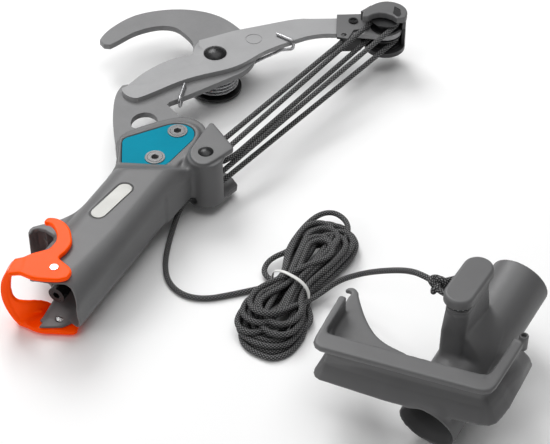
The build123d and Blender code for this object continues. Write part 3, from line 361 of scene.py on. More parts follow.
def turn_points(i):
    sL, sR, ul, ur, uyt, uxt, ll, lr, lyt, lxt, z = TURNS[i]
    q = TURNS[min(i + 1, len(TURNS) - 1)]
    jit = lambda a: rnd.uniform(-a, a)
    zt = z
    z = WAIST_Z[i // 3]
    zm = (z + zt) / 2
    top = []
    top.append(waist(sL, 4, z))
    if i == 3:
        # one turn bulges out beside the tie
        top[0] = (124.0, 111.2, -25.4)
        top.append((117.6, 111.6, -26.2))
        top.append((110.9, 116.6, -26.4))
        top.append((109.0, 125.5, -25.6))
        top.append((112.0, 133.6, -24.2))
        top.append((117.6, 139.0, -22.6))
        top.append((121.2, 152.0, z))
    else:
        top.append((waist(sL, 4, z)[0] * 0.55 + ul * 0.45 + jit(0.5), 128, zm))
        top.append((ul + 0.6 + jit(0.5), 144, zm))
    yh = uyt
    top.append((ul + jit(0.5), 144 + (yh - 144) * 0.42, zt))
    top.append((ul + (uxt - ul) * 0.16, 144 + (yh - 144) * 0.74, zt))
    top.append((ul + (uxt - ul) * 0.48, yh - (yh - 144) * 0.045, zt))
    top.append((uxt, yh + 1.5, zt))
    top.append((ur - (ur - uxt) * 0.40, yh - (yh - 144) * 0.07, zt))
    top.append((ur - (ur - uxt) * 0.06, 144 + (yh - 144) * 0.72, zt))
    top.append((ur + 0.4 + jit(0.5), 144 + (yh - 144) * 0.38, zt))
    top.append((ur - (ur - waist(sR, 3, z)[0]) * 0.28 + jit(0.5), 137, zm))
    top.append((waist(sR, 3, z)[0] * 0.62 + ur * 0.38, 122, zm))
    top.append(waist(sR, 1, z))
    low = []
    low.append((waist(sR, 0, z)[0] * 0.55 + lr * 0.45 + jit(0.4), 91 - 1.5, zm))
    if i == 4:
        # a slack loop just below the tie on the right
        low[-1] = (162.5, 92.0, -26.2)
        low.append((167.0, 84.0, -26.6))
        low.append((166.6, 75.0, -26.0))
    yb = max(66.0, lyt + 13.5)
    low.append((lr + jit(0.4), min(yb + 9, 84), zm))
    low.append((lr + 0.3 + jit(0.4), yb - (yb - lyt) * 0.15, zt))
    low.append((lr - (lr - lxt) * 0.10, lyt + (yb - lyt) * 0.36, zt))
    low.append((lr - (lr - lxt) * 0.50, lyt + (yb - lyt) * 0.02, zt))
    low.append((lxt, lyt - 1.2, zt))
    zn = WAIST_Z[min(i + 1, len(TURNS) - 1) // 3]
    zq = zt * 0.5 + zn * 0.5
    low.append((ll + (lxt - ll) * 0.46, lyt + (yb - lyt) * 0.05, zt))
    low.append((ll + (lxt - ll) * 0.08, lyt + (yb - lyt) * 0.44, zt))
    low.append((ll - 0.3 + jit(0.4), yb + 5, zq))
    low.append((ll * 0.66 + waist(q[0], -4, zn)[0] * 0.34 + jit(0.4), 87, zn))
    low.append((waist(q[0], -4, zn)[0] * 0.82 + ll * 0.18, 97.5, zn))
    return top, low


LEAD = [(GX + 5 * math.cos(BASE_A - math.radians(41)), GY + 5 * math.sin(BASE_A - math.radians(41)), Z_G3),
        (28.0, 160.6, -14.4), (22.5, 149.0, -18.5), (25.5, 131.0, -24.0), (31.0, 111.0, CZ + 1.2), (38.5, 92.5, CZ),
        (50.0, 76.5, CZ), (67.0, 69.0, CZ), (84.0, 73.0, CZ), (99.0, 86.0, CZ), (111.0, 97.5, CZ), (121.0, 107.0, CZ)]
route = list(LEAD)
for i in range(len(TURNS)):
    top, low = turn_points(i)
    route += top
    if i < len(TURNS) - 1:
        route += low
# last pass: back through the tie, a small loop, and out on the right to the handle
route = route[:-2]
route += [(146.5, 126.0, -10.4), (140.5, 113.5, -9.4), (133.6, 102.0, -9.8), (126.0, 91.5, -10.6), (121.6, 80.5, -11.0),
          (123.0, 68.5, -10.6), (132.0, 61.6, -9.8), (142.6, 63.5, -9.8), (149.6, 72.5, -11.2), (153.0, 83.5, -14.5),
          (156.0, 94.5, -19.5), (158.8, 105.0, -22.6)]
TAIL = [(162.2, 114.4, -22.4), (168.0, 119.6, -16.8), (177.0, 121.0, -8.0), (197.0, 113.0, 13.0), (219.0, 99.5, 36.0),
        (237.0, 88.5, 53.0), (251.0, 80.0, 62.5), (263.5, 73.4, 65.8)]
route += TAIL
samples = nurbs_samples("cord_route", [P(*p) for p in route], res=6)
clean = [samples[0]]
for p in samples[1:]:
    if (p - clean[-1]).length > 0.0006:
        clean.append(p)
# even spacing, then every bend tighter than the cord would take is eased
def respace(pts_, step):
    out_ = [pts_[0].copy()]
    need = step
    for i_ in range(len(pts_) - 1):
        a_, b_ = pts_[i_], pts_[i_ + 1]
        seg = (b_ - a_).length
        pos = 0.0
        while seg - pos >= need:
            pos += need
            out_.append(a_.lerp(b_, pos / seg))
            need = step
        need -= seg - pos
    out_.append(pts_[-1].copy())
    return out_


def bend_r(a_, b_, c_):
    l1, l2, l3 = (b_ - a_).length, (c_ - b_).length, (c_ - a_).length
    ar = (b_ - a_).cross(c_ - a_).length / 2
    return 1e3 if ar < 1e-12 else l1 * l2 * l3 / (4 * ar)


samples = respace(clean, 0.0018)
NS = len(samples)
for it in range(160):
    w_s = [0.0] * NS
    for i_ in range(3, NS - 3):
        if bend_r(samples[i_ - 3], samples[i_], samples[i_ + 3]) < 0.0104:
            for j_ in range(-7, 8):
                if 8 < i_ + j_ < NS - 9:
                    w_s[i_ + j_] = max(w_s[i_ + j_], 0.5 * (1 - abs(j_) / 8.0))
    if not any(w_s):
        break
    new_s = [p.copy() for p in samples]
    for i_ in range(1, NS - 1):
        if w_s[i_] > 0:
            new_s[i_] = samples[i_].lerp((samples[i_ - 1] + samples[i_ + 1]) / 2, w_s[i_])
    samples = new_s
# keep every turn above the floor
zmin = (-31.0 + 2.15 + 0.02) * MM
for p in samples:
    if p.z < zmin:
        p.z = zmin
cord = tube_mesh("pull_cord", samples, ROPE_R, sides=12, mat=M["rope"])
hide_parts("cord_lead", "cord_hank", "cord_tail")
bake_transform(cord)

# the flat tie round the hank's waist
tv, tf_ = [], []
TN = 64
wdir = Vector((-WD[1] * 0.9, 1.0, 0.0)).normalized()
for k in range(TN):
    th = 2 * math.pi * k / TN
    cs, sn = math.cos(th), math.sin(th)
    s_ = (17.7 - 3.4 * max(0.0, sn) ** 1.5) * math.copysign(abs(cs) ** 0.75, cs) + 0.9
    z_ = -18.9 + 12.4 * math.copysign(abs(sn) ** 0.62, sn)
    z_ = max(z_, -30.3)
    out = Vector((WD[0] * cs, WD[1] * cs, sn)).normalized()
    yo = -5.2 + 1.2 * math.sin(th) + 0.5 * math.sin(2 * th + 0.7)
    cpt = P(WC[0] + WD[0] * s_ + 0.2 * yo, WC[1] + WD[1] * s_ + yo, z_)
    for a_, o_ in ((-1.4, -0.25), (-1.4, 0.25), (-0.9, 0.55), (0.9, 0.55), (1.4, 0.25), (1.4, -0.25), (0.9, -0.45), (-0.9, -0.45)):
        tv.append(cpt + wdir * (a_ * MM) + out * (o_ * MM))
for k in range(TN):
    for j in range(8):
        a0, a1 = k * 8 + j, k * 8 + (j + 1) % 8
        b0, b1 = ((k + 1) % TN) * 8 + j, ((k + 1) % TN) * 8 + (j + 1) % 8
        tf_.append((a0, b0, b1, a1))
tme = bpy.data.meshes.new("tie_band")
tme.from_pydata(tv, [], tf_)
tme.polygons.foreach_set("use_smooth", [True] * len(tme.polygons))
tie = link(tme, "tie_band", M["white_tie"])
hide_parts("hank_tie")
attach(tie, "head")

# ------------------------------------------- rope over the sheaves and rollers
def arc_pts(c, r, a0, a1, z0, z1, n):
    out = []
    for k in range(n + 1):
        t = k / n
        a = a0 + (a1 - a0) * t
        out.append(P(c[0] + r * math.cos(a), c[1] + r * math.sin(a), z0 + (z1 - z0) * t))
    return out


def straight(a, b_, step=0.0025):
    a, b_ = Vector(a), Vector(b_)
    n = max(2, int((b_ - a).length / step))
    return [a.lerp(b_, k / n) for k in range(n + 1)]


def gpt(side, z, rr=5.0):
    return P(GX + nx * side * rr, GY + ny * side * rr, z)


def spt(side, z, rr=10.0):
    return P(SX + nx * side * rr, SY + ny * side * rr, z)


runs = {
    "rope_strand_a": straight(gpt(-1, Z_G1 - 0.2), P(57.0, 373.8, 4.3)),
    "rope_strand_b": straight(gpt(1, Z_G1 + 0.2), spt(-1, Z_S1 - 0.2)),
    "rope_strand_c": nurbs_samples("c_route", [P(28.6, 176.6, 0.7), P(36.0, 186.4, 1.1), P(40.8, 193.0, 1.2),
                                               P(43.6, 204.0, 1.1)], 8) + straight(P(44.2, 207.2, 1.08), spt(-1, Z_S2)),
    "rope_strand_d": straight(gpt(1, -4.6), spt(1, Z_S1 + 0.2)),
    "rope_strand_e": straight(gpt(1, Z_G3), spt(1, Z_S2)),
}
for k, (nm, pts) in enumerate(runs.items()):
    o = tube_mesh("run_" + nm[-1], pts, ROPE_R, sides=14, mat=M["rope"], s0=0.0011 * k)
    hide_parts(nm)
    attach(o, "rope_run")
    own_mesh(o)
w_top = tube_mesh("wrap_top", arc_pts((SX, SY), 10.0, BASE_A, BASE_A + math.pi, Z_S1 + 0.2, Z_S1 - 0.2, 30), ROPE_R, 12, M["rope"])
w_low = tube_mesh("wrap_low", arc_pts((SX, SY), 10.0, BASE_A, BASE_A + math.pi, Z_S2, Z_S2, 30), ROPE_R, 12, M["rope"])
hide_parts("rope_wrap_top")
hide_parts("rope_wrap_low")
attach(w_top, "lever")
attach(w_low, "lever")
g_top = tube_mesh("wrap_guide_top", arc_pts((GX, GY), 5.0, BASE_A, BASE_A - math.pi, Z_G1 + 0.2, Z_G1 - 0.2, 26), ROPE_R, 12, M["rope"])
g_mid = tube_mesh("wrap_guide_mid", arc_pts((GX, GY), 5.0, BASE_A, BASE_A - math.radians(168), -4.6, 0.7, 26), ROPE_R, 12, M["rope"])
g_low = tube_mesh("wrap_guide_low", arc_pts((GX, GY), 5.0, BASE_A, BASE_A - math.radians(41), Z_G3, Z_G3, 10), ROPE_R, 12, M["rope"])
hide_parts("rope_guide_wraps")
for o in (g_top, g_mid, g_low):
    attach(o, "head")


# knot helper (not called here), then the dead end standing on the lever beside the block, a tube that swells to a
# rounded end
def knot(name, centre, size, radius, up, mat, seed=1):
    """Tied knot: a trefoil-like closed loop drawn up tight round its own axis."""
    up = Vector(up).normalized()
    side = up.cross(Vector((0.3, 1, 0.2))).normalized()
    fwd = up.cross(side)
    pts = []
    n = 90
    for k in range(n):
        t = 2 * math.pi * k / n
        rr = 1.0 + 0.42 * math.cos(3 * t)
        x, y, z = rr * math.cos(2 * t), rr * math.sin(2 * t), 0.62 * math.sin(3 * t)
        pts.append(Vector(centre) + (side * x + fwd * y + up * z) * size)
    return tube_mesh(name, pts, radius, sides=12, mat=mat, closed=True)


end_pts = nurbs_samples("dead_r", [P(56.2, 370.0, 4.3), P(56.9, 373.6, 4.6), P(57.1, 376.0, 6.4), P(57.3, 377.8, 9.6)], 8)
nE = len(end_pts)
end_rad = []
for k in range(nE):
    t_ = k / (nE - 1)
    end_rad.append((2.15 if t_ < 0.35 else 2.15 + 1.0 * min(1, (t_ - 0.35) / 0.25)) * (math.sqrt(max(0.0, 1 - ((t_ - 0.8) / 0.22) ** 2)) if t_ > 0.8 else 1.0) * MM)
end_rad = [max(v_, 0.0002) for v_ in end_rad]
dead = tube_mesh("dead_end", end_pts, ROPE_R, sides=14, mat=M["black_plastic"], radii=end_rad)
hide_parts("rope_dead_end")
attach(dead, "lever")

# rope turn in the groove of the cleat, and the knot that ends the cord
def cleat_loc(lx_, ly_, z_):
    ca_, sa_ = math.cos(math.radians(86)), math.sin(math.radians(86))
    return P(285.5 + lx_ * ca_ - ly_ * sa_, 77.5 + lx_ * sa_ + ly_ * ca_, z_)


turn_c = []
for k in range(72):
    t_ = 2 * math.pi * k / 72
    cx_ = 13.75 if math.cos(t_) > 0 else -13.75
    turn_c.append(cleat_loc(cx_ + 7.0 * math.cos(t_), 7.0 * math.sin(t_), 65.75))
turn_ob = tube_mesh("cleat_turn", turn_c, ROPE_R, 12, M["rope"], closed=True)
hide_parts("cord_cleat_turn")
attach(turn_ob, "handle")
KC = P(265.2, 72.8, 65.6)
kside = Vector((0.80, -0.30, 0.15)).normalized()
kfwd = Vector((0.25, 0.62, 0.55))
kfwd = (kfwd - kside * kfwd.dot(kside)).normalized()
kup = kside.cross(kfwd)
kpts = []
for k in range(110):
    t_ = 2 * math.pi * k / 110
    x_, y_, z_ = math.sin(t_) + 2 * math.sin(2 * t_), math.cos(t_) - 2 * math.cos(2 * t_), -1.25 * math.sin(3 * t_)
    kpts.append(KC + (kside * x_ + kfwd * y_ + kup * z_) * (1.95 * MM))
knot_ob = tube_mesh("end_knot", kpts, ROPE_R * 0.96, 12, M["rope"], closed=True)
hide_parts("cord_end_knot")
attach(knot_ob, "handle")
for nm_, pts_ in (("knot_leg_a", [(268.0, 76.6, 66.2), (271.5, 80.0, 66.0), (275.2, 84.5, 65.8), (278.2, 90.0, 65.8)]),
                  ("knot_leg_b", [(267.6, 68.4, 65.4), (271.6, 66.6, 65.6), (276.0, 66.0, 65.75), (279.6, 69.6, 65.8)])):
    leg_ = tube_mesh(nm_, nurbs_samples(nm_, [P(*p_) for p_ in pts_], 8), ROPE_R, 12, M["rope"])
    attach(leg_, "handle")

# ------------------------------------------------------ moulded shapes as fields
import numpy as np


class Field:
    """Signed distances on a grid, in layout millimetres; negative inside."""

    def __init__(self, lo, hi, h):
        self.h = h
        self.lo = np.array(lo, float)
        n = np.ceil((np.array(hi, float) - self.lo) / h).astype(int) + 1
        self.ax = [self.lo[i] + h * np.arange(n[i]) for i in range(3)]
        self.x = self.ax[0][:, None, None].astype(np.float32)
        self.y = self.ax[1][None, :, None].astype(np.float32)
        self.z = self.ax[2][None, None, :].astype(np.float32)

    def poly2(self, pts, a="x", b_="y"):
        """Distance to a closed outline in one grid plane, as a broadcastable array."""
        pts = np.array(pts, np.float64)
        ia, ib = "xyz".index(a), "xyz".index(b_)
        A_, B_ = np.meshgrid(self.ax[ia], self.ax[ib], indexing="ij")
        d = sd_poly(A_, B_, pts)
        shape = [1, 1, 1]
        shape[ia], shape[ib] = len(self.ax[ia]), len(self.ax[ib])
        return d.astype(np.float32).reshape(shape) if ia < ib else d.T.astype(np.float32).reshape(shape)

    def slab(self, d2, z0, z1, r=0.0, axis="z"):
        w = getattr(self, axis)
        dz = np.abs(w - (z0 + z1) / 2) - (z1 - z0) / 2
        if r == 0:
            return np.maximum(d2, dz)
        a_, b_ = d2 + r, dz + r
        return np.minimum(np.maximum(a_, b_), 0) + np.sqrt(np.maximum(a_, 0) ** 2 + np.maximum(b_, 0) ** 2) - r

    def cyl(self, cx, cy, r, z0, z1, round_=0.0):
        return self.slab(np.sqrt((self.x - cx) ** 2 + (self.y - cy) ** 2) - r, z0, z1, round_)

    def rod(self, p, q, r):
        p, q = np.array(p, float), np.array(q, float)
        d = q - p
        L2 = float(d @ d)
        vx, vy, vz = self.x - p[0], self.y - p[1], self.z - p[2]
        t = np.clip((vx * d[0] + vy * d[1] + vz * d[2]) / L2, 0, 1)
        return np.sqrt((vx - t * d[0]) ** 2 + (vy - t * d[1]) ** 2 + (vz - t * d[2]) ** 2) - r


def sd_poly(X, Y, pts):
    d = np.full(X.shape, 1e9)
    inside = np.zeros(X.shape, bool)
    n = len(pts)
    for i in range(n):
        ax_, ay = pts[i - 1]
        bx, by = pts[i]
        ex, ey = bx - ax_, by - ay
        L2 = ex * ex + ey * ey
        if L2 < 1e-12:
            continue
        t = np.clip(((X - ax_) * ex + (Y - ay) * ey) / L2, 0, 1)
        d = np.minimum(d, (X - ax_ - t * ex) ** 2 + (Y - ay - t * ey) ** 2)
        cross = (ay > Y) != (by > Y)
        if abs(ey) > 1e-12:
            inside ^= cross & (X < ax_ + (Y - ay) * ex / ey)
    d = np.sqrt(d)
    return np.where(inside, -d, d)


def smin(a, b_, k):
    h = np.clip(0.5 + 0.5 * (b_ - a) / k, 0, 1)
    return b_ * (1 - h) + a * h - k * h * (1 - h)


def smax(a, b_, k):
    return -smin(-a, -b_, k)


def spline2(pts, closed=False, n=8):
    """Catmull-Rom through 2-D points."""
    P_ = [np.array(p, float) for p in pts]
    out = []
    m = len(P_)
    rng = range(m) if closed else range(m - 1)
    for i in rng:
        p1, p2 = P_[i], P_[(i + 1) % m]
        p0 = P_[i - 1] if (closed or i > 0) else 2 * p1 - p2
        p3 = P_[(i + 2) % m] if (closed or i + 2 < m) else 2 * p2 - p1
        for k in range(n):
            t = k / n
            out.append(0.5 * ((2 * p1) + (-p0 + p2) * t + (2 * p0 - 5 * p1 + 4 * p2 - p3) * t * t + (-p0 + 3 * p1 - 3 * p2 + p3) * t ** 3))
    if not closed:
        out.append(P_[-1])
    return [tuple(p) for p in out]


def path2(segs, n=8):
    """Outline of straight 'l' and smooth 's' runs."""
    out = []
    for kind, pts in segs:
        q = list(pts) if kind == "l" else spline2(pts, n=n)
        if out and math.dist(out[-1], q[0]) < 1e-6:
            q = q[1:]
        out += q
    if math.dist(out[0], out[-1]) < 1e-6:
        out = out[:-1]
    return out


def surface_net(F, field, name, mat=None, smooth=2, back=None):
    """Quad mesh of the zero level of a field."""
    f = np.broadcast_to(field, (len(F.ax[0]), len(F.ax[1]), len(F.ax[2]))).astype(np.float32).copy()
    f[0], f[-1], f[:, 0], f[:, -1], f[:, :, 0], f[:, :, -1] = 1, 1, 1, 1, 1, 1
    neg = f < 0
    nx_, ny_, nz_ = f.shape
    cnt = np.zeros((nx_ - 1, ny_ - 1, nz_ - 1), np.uint8)
    for i in (0, 1):
        for j in (0, 1):
            for k in (0, 1):
                cnt += neg[i:nx_ - 1 + i, j:ny_ - 1 + j, k:nz_ - 1 + k]
    act = (cnt > 0) & (cnt < 8)
    idx = np.argwhere(act)
    vid = -np.ones(act.shape, np.int64)
    vid[act] = np.arange(len(idx))
    s = np.zeros((len(idx), 3))
    c = np.zeros(len(idx))
    corner = {}
    for i in (0, 1):
        for j in (0, 1):
            for k in (0, 1):
                corner[(i, j, k)] = f[idx[:, 0] + i, idx[:, 1] + j, idx[:, 2] + k].astype(np.float64)
    for a_ in corner:
        for axis in range(3):
            if a_[axis] == 0:
                b2 = list(a_)
                b2[axis] = 1
                fa, fb = corner[a_], corner[tuple(b2)]
                m = (fa < 0) != (fb < 0)
                t = fa[m] / (fa[m] - fb[m])
                base = np.tile(np.array(a_, float), (m.sum(), 1))
                base[:, axis] = t
                s[m] += base
                c[m] += 1
    v = F.lo + (idx + s / c[:, None]) * F.h
    quads = []
    for axis in range(3):
        o1, o2 = [(1, 2), (2, 0), (0, 1)][axis]
        sl_a = [slice(None)] * 3
        sl_b = [slice(None)] * 3
        sl_a[axis] = slice(0, -1)
        sl_b[axis] = slice(1, None)
        ch = neg[tuple(sl_a)] != neg[tuple(sl_b)]
        e = np.argwhere(ch)
        e = e[(e[:, o1] > 0) & (e[:, o2] > 0) & (e[:, o1] < f.shape[o1] - 1) & (e[:, o2] < f.shape[o2] - 1)]
        first_in = neg[e[:, 0], e[:, 1], e[:, 2]]
        q = []
        for d1, d2 in ((-1, -1), (0, -1), (0, 0), (-1, 0)):
            g = e.copy()
            g[:, o1] += d1
            g[:, o2] += d2
            q.append(vid[g[:, 0], g[:, 1], g[:, 2]])
        q = np.stack(q, 1)
        q[~first_in] = q[~first_in][:, ::-1]
        quads.append(q)
    quads = np.concatenate(quads)
    quads = quads[(quads >= 0).all(1)]
    # parts of the surface that hold few faces are specks
    me = bpy.data.meshes.new(name)
    v = v.astype(np.float64)
    if back is not None:
        v = back(v)
    v[:, 1] += DY
    v *= MM
    me.vertices.add(len(v))
    me.vertices.foreach_set("co", v.ravel())
    me.loops.add(len(quads) * 4)
    me.loops.foreach_set("vertex_index", quads.ravel().astype(np.int32))
    me.polygons.add(len(quads))
    me.polygons.foreach_set("loop_start", np.arange(0, len(quads) * 4, 4, dtype=np.int32))
    me.update(calc_edges=True)
    me.validate()
    bm = bmesh.new()
    bm.from_mesh(me)
    seen = set()
    islands = []
    bm.verts.ensure_lookup_table()
    for v0 in bm.verts:
        if v0.index in seen:
            continue
        stack, part = [v0], []
        seen.add(v0.index)
        while stack:
            w = stack.pop()
            part.append(w)
            for e_ in w.link_edges:
                o_ = e_.other_vert(w)
                if o_.index not in seen:
                    seen.add(o_.index)
                    stack.append(o_)
        islands.append(part)
    small = [w for part in islands if len(part) < 200 for w in part]
    if small:
        bmesh.ops.delete(bm, geom=small, context="VERTS")
    for _ in range(smooth):
        bmesh.ops.smooth_vert(bm, verts=bm.verts, factor=0.5, use_axis_x=True, use_axis_y=True, use_axis_z=True)
    bm.to_mesh(me)
    bm.free()
    ob = link(me, name, mat)
    print(name, "faces", len(me.polygons), "islands", len(islands))
    return ob


def thin_out(ob, ratio):
    m = ob.modifiers.new("thin", "DECIMATE")
    m.ratio = ratio
    dg = bpy.context.evaluated_depsgraph_get()
    me = bpy.data.meshes.new_from_object(ob.evaluated_get(dg), depsgraph=dg)
    ob.modifiers.clear()
    old = ob.data
    ob.data = me
    bpy.data.meshes.remove(old)
    me.polygons.foreach_set("use_smooth", [True] * len(me.polygons))
    return ob

# ------------------------------------------------------- housing and rope guide
F = Field((-50, -19, -27), (53.5, 218, 26.2), 0.7)
X, Y, Z = F.x, F.y, F.z
BW, BH = 27.0, 25.0
r_rest = np.clip(22.0 - 1.5 * (Y + 17) / 160.0, 20.0, 22.0)
r_tr = np.clip(20.0 - 7.0 * (Y + 17) / 77.0, 13.0, 20.0)
rr = np.where((X > 0) & (Z > 0), r_tr, r_rest)
qx, qz = np.abs(X) - BW + rr, np.abs(Z) - BH + rr
barrel = np.minimum(np.maximum(qx, qz), 0) + np.sqrt(np.maximum(qx, 0) ** 2 + np.maximum(qz, 0) ** 2) - rr
# upper end: slants down to the inlay; lower end: ends under the head
n1 = np.array([-0.4336 * 0.72, 0.9011 * 0.72, 0.694])
n1 /= np.linalg.norm(n1)
top_end = (X + 13.7) * n1[0] + (Y - 124.6) * n1[1] + (Z - 25.0) * n1[2]
low_end = (Y - 151.0) * 0.78 + (-Z - 25.0) * 0.62
barrel = smax(barrel, top_end, 3.0)
barrel = smax(barrel, low_end, 3.0)
barrel = np.maximum(barrel, Y - 160)
barrel = np.maximum(barrel, -17 - Y)
head_o = path2([("l", [(-27, 138), (-31, 146), (-36, 151)]), ("s", [(-36, 151), (-41.5, 159), (-44, 168), (-42, 177)]),
                ("s", [(-42, 177), (-36, 187), (-27, 199), (-19, 208)]),
                ("s", [(-19, 208), (-11, 214), (-1, 215.5), (8, 213), (16, 206), (22, 196)]),
                ("l", [(22, 196), (27.5, 184), (29, 150), (27, 120), (-24, 120)])])
head_s = F.slab(F.poly2(head_o), -12.5, 12.5, 2.4)
land_o = path2([("l", [(-25, 131), (-39, 160)]), ("s", [(-39, 160), (-41, 166), (-38, 172)]),
                ("l", [(-38, 172), (-18.5, 197.5)]),
                ("s", [(-18.5, 197.5), (-11, 204), (-2, 207), (7.5, 205), (14, 198), (16.5, 187)]),
                ("l", [(16.5, 187), (17, 152), (18, 132), (-25, 131)])])
land_s = F.slab(F.poly2(land_o), 5, 14.9, 1.6)
body = smin(head_s, land_s, 2.2)
body = smin(body, barrel, 5.0)
# flared clamp wing on the left
wing_o = [(-14, 92), (-22, 83), (-25.5, 76), (-29, 70), (-32.5, 63.5), (-37.5, 57.0), (-43.5, 51), (-46.8, 47.2),
          (-47.4, 44.2), (-46.6, 40.8), (-44.9, 38.4), (-44.1, 40.6), (-44.6, 44.2), (-41.5, 47.2), (-36, 47.8), (-26, 45), (-14, 40)]
wing_s = F.slab(F.poly2(wing_o) - 0.25, -13, 13, 1.2)
body = smin(body, wing_s, 4.5)
# tower of the rope guide, its shoulder and the boss
tower = F.cyl(33.6, 170.7, 15.1, -23.0, 20.2, 1.8)
taper = np.sqrt((X - 33.6) ** 2 + (Y - 170.7) ** 2) - (15.3 - (Z + 23.0) * 0.012)
tower = np.maximum(tower, taper)
body = smin(body, tower, 6.0)
boss_o = path2([("l", [(18.8, 197.0), (18.6, 204.6), (19.6, 206.4), (21.4, 206.4), (48.9, 187.6), (49.9, 185.4), (49.4, 183.0), (43.9, 166.0)]),
                ("s", [(43.9, 166.0), (41.2, 160.2), (37.0, 157.3), (31.6, 157.5), (26.4, 160.6), (22.0, 166.2), (20.4, 171.8)]),
                ("l", [(20.4, 171.8), (18.8, 197.0)])])
boss = F.slab(F.poly2(boss_o), 16.6, 22.3, 0.9)
body = smin(body, boss, 1.6)
lowp_o = [(20.5, 190), (24, 199.5), (38.5, 199.2), (50.0, 191.2), (51.6, 187.5), (47.6, 170.0), (33, 157)]
lowp = F.slab(F.poly2(lowp_o), -23, -18.4, 1.0)
body = smin(body, lowp, 1.2)
back = F.slab(F.poly2([(19.5, 178), (22.2, 178), (22.4, 194), (21.6, 205), (19.5, 205)]), -23, 20)
body = np.minimum(body, back)
# what is cut away: socket, side of the mouth, slanted lips
socket = np.sqrt(X ** 2 + Z ** 2) - (20.1 + 3.6 * np.clip((12 - Y) / 26.0, 0, 1))
socket = smax(socket, Y - 66.1, 1.0)
# near the mouth the wall thins to a lip that follows the outside
thin_lip = barrel + 2.3 + np.maximum(Y + 1.0, 0) * 0.30
thin_lip = np.maximum(thin_lip, Y - 24.0)
body = smax(body, -smin(socket, thin_lip, 3.0), 0.9)
side_cut = F.poly2([(-70, -30), (-10.9, -30), (-10.9, 14), (-20, 24.5), (-70, 24.5)])
side_cut = np.maximum(side_cut, np.minimum(F.poly2([(-70, -30), (-10.9, -30), (-10.9, 14), (-20, 24.5), (-70, 24.5)]), 0))
body = smax(body, -side_cut, 0.9)
RIM = [(-180, -9), (-120, -10.7), (-108, -11.5), (-74, -3.9), (-64, 2.4), (-45, -2.5), (-26, -6.5), (0, -9.6), (17, -9.6),
       (23, -7.9), (30, -7.0), (42, -4.4), (49, -3.3), (55, -3.4), (61, -4.3), (66, -5.9), (75, -8.6), (84, -9.8), (108, -12.4),
       (117, -12), (180, -11)]
ang = np.degrees(np.arctan2(Z, X))
rim_y = np.interp(ang.ravel(), [p[0] for p in RIM], [p[1] for p in RIM]).reshape(ang.shape).astype(np.float32)
body = smax(body, (rim_y - Y) * 0.9, 1.2)
wing_in = [(-17, 77), (-22, 73), (-28.5, 64.5), (-35, 56), (-41, 50), (-43.6, 47.2), (-43.6, 20), (-24, 20), (-24, 62), (-17, 68)]
hollow = F.slab(F.poly2(wing_in), -10.2, 10.2, 1.5)
body = smax(body, -hollow, 0.7)
wing_rib = F.rod((-38.5, 50.5, 0), (-30, 61, 0), 1.3)
body = smin(body, np.maximum(np.maximum(wing_rib, np.abs(Z) - 10.4), F.poly2(wing_o)), 0.8)
rib_v = F.slab(F.poly2([(-39.3, 51.0), (-37.9, 49.9), (-29.6, 60.2), (-31.0, 61.3)]), -10.6, 10.6)
body = smin(body, rib_v, 0.8)
# slot of the hook plate, pocket of the inlay, screw wells
slot = F.slab(F.poly2([(-60, 144), (9, 144), (9, 208), (30, 230), (-60, 240)]), -2.52, 2.52)
body = np.maximum(body, -slot)
inlay_o = path2([("l", [(-24, 139.5), (-35.5, 160)]), ("s", [(-35.5, 160), (-37, 165), (-34.5, 170)]),
                 ("l", [(-34.5, 170), (-16, 194.5)]),
                 ("s", [(-16, 194.5), (-10, 200), (-2, 202.5), (5.5, 200.5), (10, 195), (11.5, 187)]),
                 ("l", [(11.5, 187), (8.5, 157)]), ("s", [(8.5, 157), (6.5, 151.5), (1, 149.5)]),
                 ("l", [(1, 149.5), (-24, 139.5)])])
pocket = F.slab(F.poly2(inlay_o) - 0.45, 11.7, 15.6)
pocket_hi = F.slab(F.poly2(inlay_o) - 0.45, 11.7, 27)
behind = (X + 24.0) * -0.3714 + (Y - 139.3) * 0.9285
body = smax(body, -np.maximum(pocket_hi, -behind + 0.3), 0.7)
for sx_, sy_ in ((-4.0, 193.0), (-4.0, 156.5)):
    body = np.maximum(body, -F.cyl(sx_, sy_, 3.05, -30, 30))
    body = np.maximum(body, -F.cyl(sx_, sy_, 6.3, -30, -10.0))
# badge recess
bd = F.rod((-3.4, 71.5, 25.6), (0.2, 103.6, 25.6), 6.6)
bx = np.sqrt((X + 3.4 - np.clip(((X + 3.4) * 3.6 + (Y - 71.5) * 32.1) / (3.6 ** 2 + 32.1 ** 2), 0, 1) * 3.6) ** 2
             + (Y - 71.5 - np.clip(((X + 3.4) * 3.6 + (Y - 71.5) * 32.1) / (3.6 ** 2 + 32.1 ** 2), 0, 1) * 32.1) ** 2) - 6.6
body = smax(body, -F.slab(bx, 23.7, 30), 0.8)
# roller room of the guide, open towards the lever, rivet bore and rope hole
room = F.cyl(33.0, 172.0, 11.5, -18.4, 17.4, 1.0)
mouth = F.slab(F.poly2([(22.6, 178), (30, 173.5), (47.6, 171.6), (80, 190), (70, 230), (0, 230), (19.0, 206), (22.6, 205)]), -18.4, 17.4, 0.5)
body = smax(body, -smin(room, mouth, 1.0), 0.8)
hole = F.rod((36.0, 168.0, -14.0), (29.0, 161.5, -14.6), 3.3)
hole = np.minimum(hole, F.rod((29.0, 161.5, -14.6), (27.5, 148.0, -18.6), 3.5))
hole = np.minimum(hole, F.rod((27.0, 161.5, -14.4), (21.0, 146.5, -17.6), 3.5))
hole = np.minimum(hole, F.rod((23.0, 154.0, -16.4), (29.0, 157.0, -17.2), 3.5))
body = smax(body, -hole, 1.0)
stud_h = np.sqrt(X ** 2 + Z ** 2) - 4.0
body = np.maximum(body, -np.maximum(stud_h, np.abs(Y - 76) - 10))
